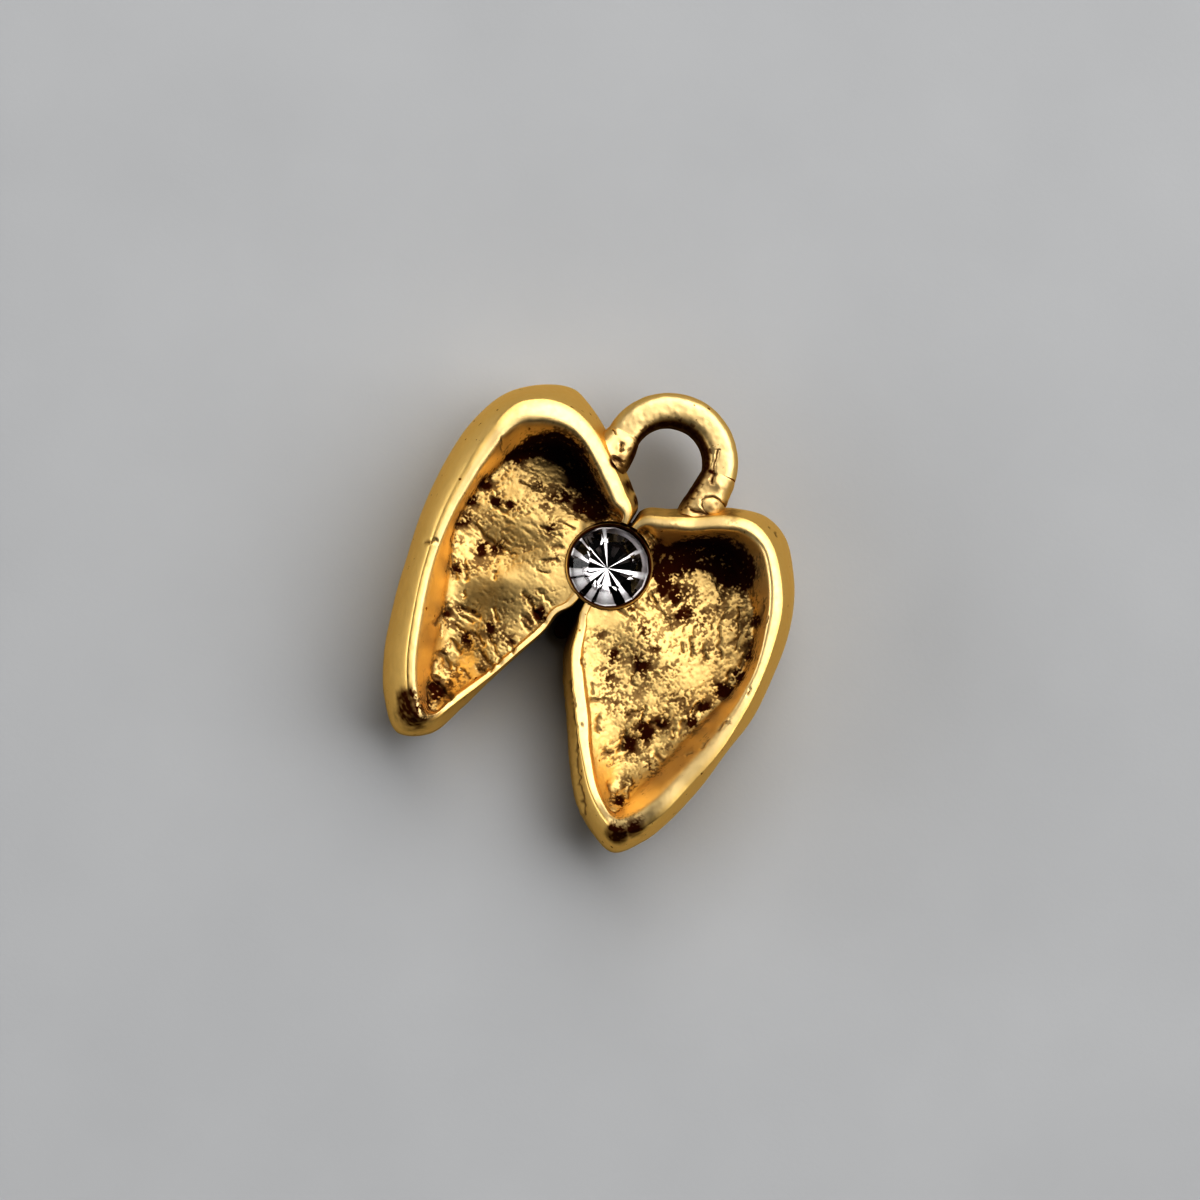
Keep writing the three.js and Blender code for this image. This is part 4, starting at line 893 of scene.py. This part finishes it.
def silver_foil():
    """Vacuum silver bonded behind the crystal, with a star painted on it: white rays, a painted reflection
    that the tilted normals send to the window's light, on silver painted grey at the top and near black at
    the bottom as a dark reflection. The rays soften towards the girdle, and the rim on the window's side is a
    painted highlight."""
    material, tree, where = new_material("silver_foil")
    crease = add(tree, "ShaderNodeTexNoise", Vector=where, Scale=per_mm(0.5), Detail=2.0).outputs["Fac"]
    level, radius = from_stone(tree, where)
    turn = add(tree, "ShaderNodeTexGradient", {"gradient_type": "RADIAL"}, Vector=level).outputs["Fac"]
    first, last = FOIL_DARK
    stops = []
    for degrees, half, brightness in FOIL_RAYS:
        middle = turn_share(degrees)
        stops += [(middle - half / 360, grey(0)), (middle, grey(brightness)), (middle + half / 360, grey(0))]
    ray = add(tree, "ShaderNodeValToRGB", Fac=turn, stops=sorted(stops)).outputs[0]
    wedge = add(tree, "ShaderNodeMapRange", Value=ray, From_Min=0.1, From_Max=0.3).outputs[0]
    rim = add(tree, "ShaderNodeMapRange", Value=radius, From_Min=0.76 * STONE_RADIUS * MM,
              From_Max=0.8 * STONE_RADIUS * MM).outputs[0]
    sunny_stops = [(-30, 0), (0, 0.6), (40, 1), (90, 1), (150, 0)]
    sunny = add(tree, "ShaderNodeValToRGB", Fac=turn,
                stops=[(turn_share(degrees), grey(value)) for degrees, value in sunny_stops]).outputs[0]
    edge = add(tree, "ShaderNodeMath", {"operation": "MULTIPLY"}, _0=rim, _1=sunny).outputs[0]
    # The rays and the window-side rim are a painted highlight
    painted_glint = add(tree, "ShaderNodeMath", {"operation": "MAXIMUM"}, _0=wedge, _1=edge).outputs[0]
    # Between the rays the silver is painted grey above and near black below, as a dark reflection
    dark_stops = [(first, 0), (first + 4, 1), (last - 4, 1), (last, 0)]
    dark = add(tree, "ShaderNodeValToRGB", Fac=turn,
               stops=[(turn_share(degrees), grey(value)) for degrees, value in dark_stops]).outputs[0]
    shade = add(tree, "ShaderNodeMix", {"data_type": "RGBA"}, _0=dark, _6=linear("#7C7470"),
                _7=linear("#0E0A09")).outputs[2]
    white = add(tree, "ShaderNodeMix", {"data_type": "RGBA"}, _0=ray, _6=linear("#D6D0D2"),
                _7=linear("#FFFFFF")).outputs[2]
    tone = add(tree, "ShaderNodeMix", {"data_type": "RGBA"}, _0=painted_glint, _6=shade, _7=white).outputs[2]
    blur = add(tree, "ShaderNodeMapRange", Value=radius, From_Min=0.45 * STONE_RADIUS * MM,
               From_Max=0.7 * STONE_RADIUS * MM, To_Min=0.14, To_Max=0.55).outputs[0]
    rough = add(tree, "ShaderNodeMapRange", Value=painted_glint, To_Min=0.06, To_Max=blur).outputs[0]
    bump = add(tree, "ShaderNodeBump", Strength=0.2, Distance=0.00002, Height=crease).outputs[0]
    from_piece = {"vector_type": "NORMAL", "convert_from": "OBJECT", "convert_to": "WORLD"}
    tilted = add(tree, "ShaderNodeVectorTransform", from_piece, Vector=FLASH_TILT).outputs[0]
    facet = add(tree, "ShaderNodeMix", {"data_type": "VECTOR"}, _0=painted_glint, _4=bump, _5=tilted).outputs[1]
    shader = add(tree, "ShaderNodeBsdfPrincipled", Base_Color=tone, Metallic=1.0, Roughness=rough,
                 Normal=facet)
    add(tree, "ShaderNodeOutputMaterial", Surface=shader.outputs[0])
    return material


def jewellery_cement():
    """Clear two-part cement, yellowed a little and dusty where it shows."""
    material, tree, where = new_material("jewellery_cement")
    cloud = add(tree, "ShaderNodeTexNoise", Vector=where, Scale=per_mm(0.4), Detail=3.0).outputs["Fac"]
    tone = add(tree, "ShaderNodeValToRGB", Fac=cloud,
               stops=[(0.3, linear("#5A4A2A")), (0.7, linear("#A08A58"))]).outputs[0]
    shader = add(tree, "ShaderNodeBsdfPrincipled", Base_Color=tone, Roughness=0.5)
    add(tree, "ShaderNodeOutputMaterial", Surface=shader.outputs[0])
    return material


def matt_paper():
    """Uncoated pale grey paper: even and matt, with a faint cloudiness and fibre."""
    material, tree, where = new_material("matt_paper")
    cloud = add(tree, "ShaderNodeTexNoise", Vector=where, Scale=per_mm(9.0), Detail=4.0).outputs["Fac"]
    fibre = add(tree, "ShaderNodeTexNoise", Vector=where, Scale=per_mm(0.25), Detail=3.0).outputs["Fac"]
    tone = add(tree, "ShaderNodeValToRGB", Fac=cloud,
               stops=[(0.3, linear("#B9BBBE")), (0.7, linear("#BDBFC2"))]).outputs[0]
    bump = add(tree, "ShaderNodeBump", Strength=0.25, Distance=0.00002, Height=fibre).outputs[0]
    shader = add(tree, "ShaderNodeBsdfPrincipled", Base_Color=tone, Roughness=0.9, Normal=bump)
    add(tree, "ShaderNodeOutputMaterial", Surface=shader.outputs[0])
    return material


# The wings. A corner further than this from each uncut one was made by a cut, and is this dark
SAME_CORNER = 0.002
CUT_RECESS = 0.95


def wing(name, stations, back_middle, spots, cutters, **marks):
    """One finished wing. The corners that the cuts make are made near black."""
    places, faces, towards = wing_skin(stations, back_middle, spots)
    normals = normals_of(places, faces)
    height, oxide_and_shade, worn = wing_relief(places, towards, normals, **marks)
    dressed = places + normals * height[:, None]
    dressed[:, 2] = np.maximum(dressed[:, 2], 0)
    thing = mesh_object(name, dressed, faces.tolist(), antique_gold_plate)
    finder = KDTree(len(dressed))
    for index, place in enumerate(dressed):
        finder.insert(place, index)
    finder.balance()
    cut_away(thing, cutters)
    now = places_of(thing.data)
    found = [finder.find(place) for place in now]
    near = np.array([index for _, index, _ in found])
    away = np.array([distance for _, _, distance in found])
    keep(thing.data, "oxide_and_shade", np.where(away < SAME_CORNER, oxide_and_shade[near], CUT_RECESS))
    keep(thing.data, "worn", np.where(away < SAME_CORNER, worn[near], 0.0))
    smoothed(thing.data, 50)
    return thing


post_shape = round_bar(*POST_ENDS, 2 * SEAT_CUT_RADIUS, *THROUGH_HEIGHTS, around=48)
web_shape = round_bar(*WEB_ENDS, WEB_WIDTH + 2 * JOINT_GAP, WEB_BOTTOM - JOINT_GAP, WEB_TOP + JOINT_GAP,
                      around=12)
seam_shape = round_bar(*SEAM_ENDS, SEAM_WIDTH, *THROUGH_HEIGHTS, around=8)
cutters = [mesh_object("post_cutter", *post_shape), mesh_object("web_cutter", *web_shape),
           mesh_object("seam_cutter", *seam_shape)]

parting_groove = running(RIGHT_GROOVE, half_width=0.05, depth=0.09)
parting_ridge = running(RIGHT_RIDGE, half_width=0.1, depth=0.06)
left_wing = wing("left_wing_dressed", LEFT_WING, LEFT_BACK_MIDDLE, LEFT_SPOTS, cutters, strokes=LEFT_SLOTS,
                 ridges=[], smooth=LEFT_SMOOTH, shades=LEFT_SHADES, bowl=LEFT_BOWL, grain_degrees=-8)
right_wing = wing("right_wing_dressed", RIGHT_WING, RIGHT_BACK_MIDDLE, RIGHT_SPOTS, cutters,
                  strokes=RIGHT_SLOTS + parting_groove, ridges=parting_ridge, smooth=RIGHT_SMOOTH,
                  shades=RIGHT_SHADES, bowl=RIGHT_BOWL, grain_degrees=65)
for tool in cutters:
    bpy.data.objects.remove(tool)


# The crystal: a ground chaton whose pavilion reaches into the foil's thickness, as it is silvered there
def ring_of(count, radius, height):
    angles = np.radians(360 / count * np.arange(count))
    return [(radius * math.cos(a), radius * math.sin(a), height) for a in angles]


def faceted_crystal(name, material):
    girdle_top = COLLAR_HEIGHT - STONE_SINK
    girdle_bottom = girdle_top - STONE_GIRDLE
    corners = [(0, 0, girdle_bottom - STONE_PAVILION)]
    corners += ring_of(16, STONE_RADIUS, girdle_bottom)
    corners += ring_of(16, STONE_RADIUS, girdle_top)
    corners += ring_of(8, STONE_RADIUS * TABLE_SHARE, girdle_top + STONE_CROWN)
    shape = bmesh.new()
    for corner in corners:
        shape.verts.new(in_metres(corner))
    bmesh.ops.convex_hull(shape, input=shape.verts)
    bmesh.ops.dissolve_limit(shape, angle_limit=math.radians(0.5), verts=shape.verts, edges=shape.edges)
    bmesh.ops.recalc_face_normals(shape, faces=shape.faces)
    mesh = bpy.data.meshes.new(name)
    shape.to_mesh(mesh)
    shape.free()
    mesh.materials.append(material)
    return placed(name, mesh)


crystal = faceted_crystal("crystal_dressed", clear_crystal_glass())


# The hanging loop and its solder joints
def squared_off(tree, ring):
    """Pushes a round section's corners out a little, as drawn square wire keeps them."""
    place = add(tree, "GeometryNodeInputPosition").outputs[0]
    apart = add(tree, "ShaderNodeSeparateXYZ", Vector=place)
    both = add(tree, "ShaderNodeMath", {"operation": "MULTIPLY"}, _0=apart.outputs[0],
               _1=apart.outputs[1]).outputs[0]
    corner = add(tree, "ShaderNodeMath", {"operation": "MULTIPLY"}, _0=both, _1=both).outputs[0]
    push = add(tree, "ShaderNodeMath", {"operation": "MULTIPLY_ADD"}, _0=corner, _1=WIRE_SQUARENESS,
               _2=1.0).outputs[0]
    moved = add(tree, "ShaderNodeVectorMath", {"operation": "SCALE"}, _0=place, Scale=push).outputs[0]
    return add(tree, "GeometryNodeSetPosition", Geometry=ring, Position=moved).outputs[0]


def wire_tree(name, route, inputs):
    """A Geometry Nodes tree that draws a bent wire of oval section along a route."""
    tree = bpy.data.node_groups.new(name, "GeometryNodeTree")
    ids = {}
    for label, kind in inputs.items():
        ids[label] = tree.interface.new_socket(name=label, in_out="INPUT", socket_type=kind).identifier
    tree.interface.new_socket(name="Wire", in_out="OUTPUT", socket_type="NodeSocketGeometry")
    given = tree.nodes.new("NodeGroupInput").outputs
    line = route(tree, given)
    line = add(tree, "GeometryNodeSetCurveNormal", {"mode": "Z_UP"}, Curve=line).outputs[0]
    share = add(tree, "GeometryNodeSplineParameter").outputs["Factor"]
    squared = add(tree, "ShaderNodeMath", {"operation": "POWER"}, _0=share, _1=2.0).outputs[0]
    flare = add(tree, "ShaderNodeMath", {"operation": "MULTIPLY_ADD"}, _0=squared, _1=given["Spread"],
                _2=1.0).outputs[0]
    half_width = add(tree, "ShaderNodeMath", {"operation": "MULTIPLY"}, _0=given["Wire Width"],
                     _1=0.5).outputs[0]
    half_depth = add(tree, "ShaderNodeMath", {"operation": "MULTIPLY"}, _0=given["Wire Depth"],
                     _1=0.5).outputs[0]
    size = add(tree, "ShaderNodeCombineXYZ", X=half_width, Y=half_depth, Z=1.0).outputs[0]
    round_section = add(tree, "GeometryNodeCurvePrimitiveCircle", {"mode": "RADIUS"}, Resolution=WIRE_AROUND,
                        Radius=1.0)
    section = add(tree, "GeometryNodeTransform", Geometry=squared_off(tree, round_section.outputs[0]),
                  Scale=size).outputs[0]
    tube = add(tree, "GeometryNodeCurveToMesh", Curve=line, Profile_Curve=section, Scale=flare,
               Fill_Caps=True)
    smooth = add(tree, "GeometryNodeSetShadeSmooth", Geometry=tube.outputs[0]).outputs[0]
    real = add(tree, "GeometryNodeRealizeInstances", Geometry=smooth).outputs[0]
    finished = add(tree, "GeometryNodeSetMaterial", Geometry=real, Material=given["Finish"]).outputs[0]
    add(tree, "NodeGroupOutput", Wire=finished)
    return tree, ids


def arc_route(tree, given):
    arc = add(tree, "GeometryNodeCurveArc", {"mode": "RADIUS"}, Resolution=LOOP_STEPS,
              Radius=given["Radius"], Start_Angle=given["Start Angle"],
              Sweep_Angle=given["Sweep Angle"]).outputs[0]
    return add(tree, "GeometryNodeTransform", Geometry=arc, Translation=given["Centre"]).outputs[0]


def bent_route(tree, given):
    return add(tree, "GeometryNodeCurvePrimitiveBezierSegment", {"mode": "POSITION"},
               Resolution=JOINT_STEPS, Start=given["Start"], Start_Handle=given["Leave"],
               End_Handle=given["Arrive"], End=given["Foot"]).outputs[0]


WIRE_INPUTS = {"Wire Width": "NodeSocketFloat", "Wire Depth": "NodeSocketFloat", "Spread": "NodeSocketFloat",
               "Finish": "NodeSocketMaterial"}
loop_tree, loop_ids = wire_tree("hanging_loop_wire", arc_route, {
    "Radius": "NodeSocketFloat", "Start Angle": "NodeSocketFloat", "Sweep Angle": "NodeSocketFloat",
    "Centre": "NodeSocketVector", **WIRE_INPUTS})
joint_tree, joint_ids = wire_tree("solder_joint", bent_route, {
    "Start": "NodeSocketVector", "Leave": "NodeSocketVector", "Arrive": "NodeSocketVector",
    "Foot": "NodeSocketVector", **WIRE_INPUTS})


def grown_from(name, tree, ids, values):
    """A piece made by a Geometry Nodes tree and turned into a plain mesh."""
    thing = placed(name, bpy.data.meshes.new(name))
    step = thing.modifiers.new(tree.name, "NODES")
    step.node_group = tree
    for label, value in values.items():
        step[ids[label]] = value
    return made_plain(thing)


def loop_place(degrees):
    angle = math.radians(degrees)
    return np.array(LOOP_CENTRE) + LOOP_RADIUS * np.array([math.cos(angle), math.sin(angle), 0])


hanging_loop = grown_from("hanging_loop_dressed", loop_tree, loop_ids, {
    "Radius": LOOP_RADIUS * MM, "Start Angle": math.radians(LOOP_RIGHT_END_DEGREES),
    "Sweep Angle": math.radians(LOOP_LEFT_END_DEGREES - LOOP_RIGHT_END_DEGREES),
    "Centre": in_metres(LOOP_CENTRE),
    "Wire Width": LOOP_WIRE_WIDTH * MM, "Wire Depth": LOOP_WIRE_DEPTH * MM, "Spread": 0.0,
    "Finish": antique_gold_plate})


def solder_joint(name, degrees, leave, arrive, foot, spread_by):
    start = loop_place(degrees)
    return grown_from(name, joint_tree, joint_ids, {
        "Start": in_metres(start), "Leave": in_metres(start + np.array(leave)),
        "Arrive": in_metres(np.array(foot) + np.array(arrive)), "Foot": in_metres(foot),
        "Wire Width": LOOP_WIRE_WIDTH * MM, "Wire Depth": LOOP_WIRE_DEPTH * MM, "Spread": spread_by,
        "Finish": gold_plated_solder})


left_solder = solder_joint("left_solder_dressed", LOOP_LEFT_END_DEGREES, leave=(0, -0.35, 0),
                           arrive=(0.15, 0.35, 0), foot=(-2.4, 3.75, 2.8), spread_by=0.45)
right_solder = solder_joint("right_solder_dressed", LOOP_RIGHT_END_DEGREES, leave=(0.05, -0.4, 0),
                            arrive=(-0.1, 0.4, 0), foot=(2.15, 3.5, 2.8), spread_by=0.3)


def weathered(thing, strokes, shades, raised, roughness):
    """Gives a wire piece its lumps, cracks and dark places, with painted shade on the side facing the eye and
    on the outer side. Raised lumps are (x, y, radius, height).
    """
    mesh = thing.data
    places = places_of(mesh)
    sides = [list(polygon.vertices) for polygon in mesh.polygons if len(polygon.vertices) == 4]
    halves = [side[:3] for side in sides] + [[side[2], side[3], side[0]] for side in sides]
    normals = normals_of(places, np.array(halves))
    seen = as_seen(places)
    up = smoothstep(-0.2, 0.3, normals[:, 2])
    depth, cover = gouged(seen, strokes, 0.04)
    height = roughness * (0.5 * lumps(places, 0.45, 51) + 0.3 * lumps(places, 0.18, 52))
    height += 0.02 * lumps(places, 1.2, 53) - depth * up
    for x, y, radius, rise in raised:
        height += up * rise * np.exp(-(np.hypot(seen[:, 0] - x, seen[:, 1] - y) / radius) ** 2)
    moved = places + normals * height[:, None]
    mesh.vertices.foreach_set("co", ((moved + SHIFT) * MM).ravel())
    shade = spread(seen, shades) * up * (0.8 + 0.4 * lumps(seen, 0.15, 54))
    towards_eye = np.array(LOOP_CENTRE[:2]) - places[:, :2]
    towards_eye /= np.linalg.norm(towards_eye, axis=1, keepdims=True)
    inward = (normals[:, :2] * towards_eye).sum(axis=1)
    # Painted shade on the side that faces the loop's eye and on the outer side
    eye_side_shade = smoothstep(0.35, 0.8, inward) * 0.88
    grains = smoothstep(0.0, 0.6, inward) * smoothstep(0.1, 0.5, lumps(places, 0.12, 55)) * 0.8
    outer_side_shade = smoothstep(0.45, 0.95, -inward) * 0.3
    oxide_and_shade = np.maximum.reduce([cover * 0.9 * up, shade, eye_side_shade, grains, outer_side_shade])
    keep(mesh, "oxide_and_shade", np.clip(oxide_and_shade, 0, 1))
    keep(mesh, "worn", smoothstep(0.7, 0.95, normals[:, 2]))
    mesh.polygons.foreach_set("use_smooth", [True] * len(mesh.polygons))
    mesh.update()


weathered(hanging_loop, roughness=0.02,
          strokes=[(1.35, 6.3, 1.55, 5.6, 0.05, 0.08), (1.55, 5.6, 1.7, 5.4, 0.05, 0.08)],
          shades=[(1.6, 5.4, 0.2, 0.8), (-3.0, 5.4, 0.12, 0.9)], raised=[])
weathered(left_solder, roughness=0.03,
          strokes=[(-2.12, 4.38, -2.02, 4.22, 0.07, 0.12), (-2.2, 3.85, -1.75, 3.85, 0.06, 0.1),
                   (-2.8, 4.75, -2.6, 4.7, 0.03, 0.06)],
          shades=[(-2.0, 3.8, 0.3, 0.8), (-1.6, 3.6, 0.3, 0.9)], raised=[(-2.1, 4.7, 0.35, 0.08)])

# The blob of solder at the right joint's foot has a fine crack all round it
blob_ring = [(BLOB[0] + BLOB_HALVES[0] * math.cos(math.radians(a)),
              BLOB[1] + BLOB_HALVES[1] * math.sin(math.radians(a))) for a in range(30, 391, 30)]
weathered(right_solder, roughness=0.04,
          strokes=[(1.6, 5.6, 2.5, 5.7, 0.06, 0.12), (1.7, 5.45, 1.85, 5.0, 0.07, 0.1),
                   (1.6, 3.6, 2.6, 3.85, 0.06, 0.08), *running(blob_ring, half_width=0.04, depth=0.05)],
          shades=[(1.6, 5.35, 0.2, 0.9), (1.8, 5.0, 0.15, 0.8), (2.2, 3.7, 0.2, 0.8), (2.95, 4.6, 0.2, 0.9),
                  (*BLOB, 0.28, 0.65)],
          raised=[(2.1, 5.15, 0.3, 0.12), (*BLOB, 0.4, 0.12)])

for piece, node, slot in (
    (left_wing, "left_wing", "antique_gold_plate"),
    (right_wing, "right_wing", "antique_gold_plate"),
    (hanging_loop, "hanging_loop", "antique_gold_plate"),
    (left_solder, "left_loop_solder", "gold_plated_solder"),
    (right_solder, "right_loop_solder", "gold_plated_solder"),
    (crystal, "crystal_stone", "clear_crystal"),
):
    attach(piece, "root")
    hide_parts(node)

finishes = {
    "stone_seat": gold("antique_gold_seat", "#F3D79E", "#EDCB84", 0.4, 0.12, SEAT_SHADE_RADIUS),
    "stone_foil": silver_foil(),
    "stone_cement": jewellery_cement(),
}
for node, finish in finishes.items():
    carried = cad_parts[node]
    for place in carried.material_slots:
        place.material = finish

# The table, the lights and the camera
floor_mesh = bpy.data.meshes.new("paper_floor")
reach = 0.6
floor_mesh.from_pydata([(-reach, -reach, 0), (reach, -reach, 0), (reach, reach, 0), (-reach, reach, 0)], [],
                       [(0, 1, 2, 3)])
floor_mesh.materials.append(matt_paper())
floor = placed("paper_floor", floor_mesh)


def softbox(name, azimuth, elevation, distance, width, height, watts, colour):
    """A flat lamp that looks at the charm, in metres and degrees. Azimuth runs from +X towards +Y."""
    lamp = bpy.data.lights.new(name, "AREA")
    lamp.shape = "RECTANGLE"
    lamp.size, lamp.size_y = width, height
    lamp.energy = watts
    lamp.color = linear(colour)[:3]
    thing = placed(name, lamp)
    around, up = math.radians(azimuth), math.radians(elevation)
    direction = Vector((math.cos(around) * math.cos(up), math.sin(around) * math.cos(up), math.sin(up)))
    thing.location = direction * distance
    thing.rotation_euler = direction.to_track_quat("Z", "Y").to_euler()


softbox("window_light", azimuth=72, elevation=51, distance=0.5, width=1.06, height=0.48, watts=3.3,
        colour="#FFFDFA")
softbox("reflector_card", azimuth=205, elevation=15, distance=0.5, width=0.5, height=0.3, watts=1.05,
        colour="#FFFFFF")

world = bpy.data.worlds.new("studio")
bpy.context.scene.world = world
world.use_nodes = True
sky = world.node_tree
sky.nodes.clear()
direction = add(sky, "ShaderNodeTexCoord").outputs["Generated"]
split = add(sky, "ShaderNodeSeparateXYZ", Vector=direction)
lean = add(sky, "ShaderNodeMath", {"operation": "MULTIPLY_ADD"}, _0=split.outputs[1], _1=0.5, _2=0.5)
glow = add(sky, "ShaderNodeValToRGB", Fac=lean.outputs[0],
           stops=[(0.0, grey(0.02)), (0.5, grey(0.03)), (0.58, grey(0.14)), (0.9, grey(0.1))]).outputs[0]
room = add(sky, "ShaderNodeBackground", Color=glow, Strength=1.0)
add(sky, "ShaderNodeOutputWorld", Surface=room.outputs[0])

camera_data = bpy.data.cameras.new("photograph_camera")
camera_data.lens = CAMERA_LENS
camera_data.sensor_width = CAMERA_SENSOR
camera_data.clip_start = 0.01
camera_data.clip_end = 10
camera = placed("photograph_camera", camera_data)
right, up = Vector(CAMERA_RIGHT).normalized(), Vector(CAMERA_UP).normalized()
back = right.cross(up)
turned = Matrix((right, up, back)).transposed()
camera.matrix_world = Matrix.Translation(in_metres(CAMERA_PLACE)) @ turned.to_4x4()
bpy.context.scene.camera = camera
bpy.context.scene.view_settings.view_transform = "Standard"
bpy.context.scene.view_settings.look = "High Contrast"
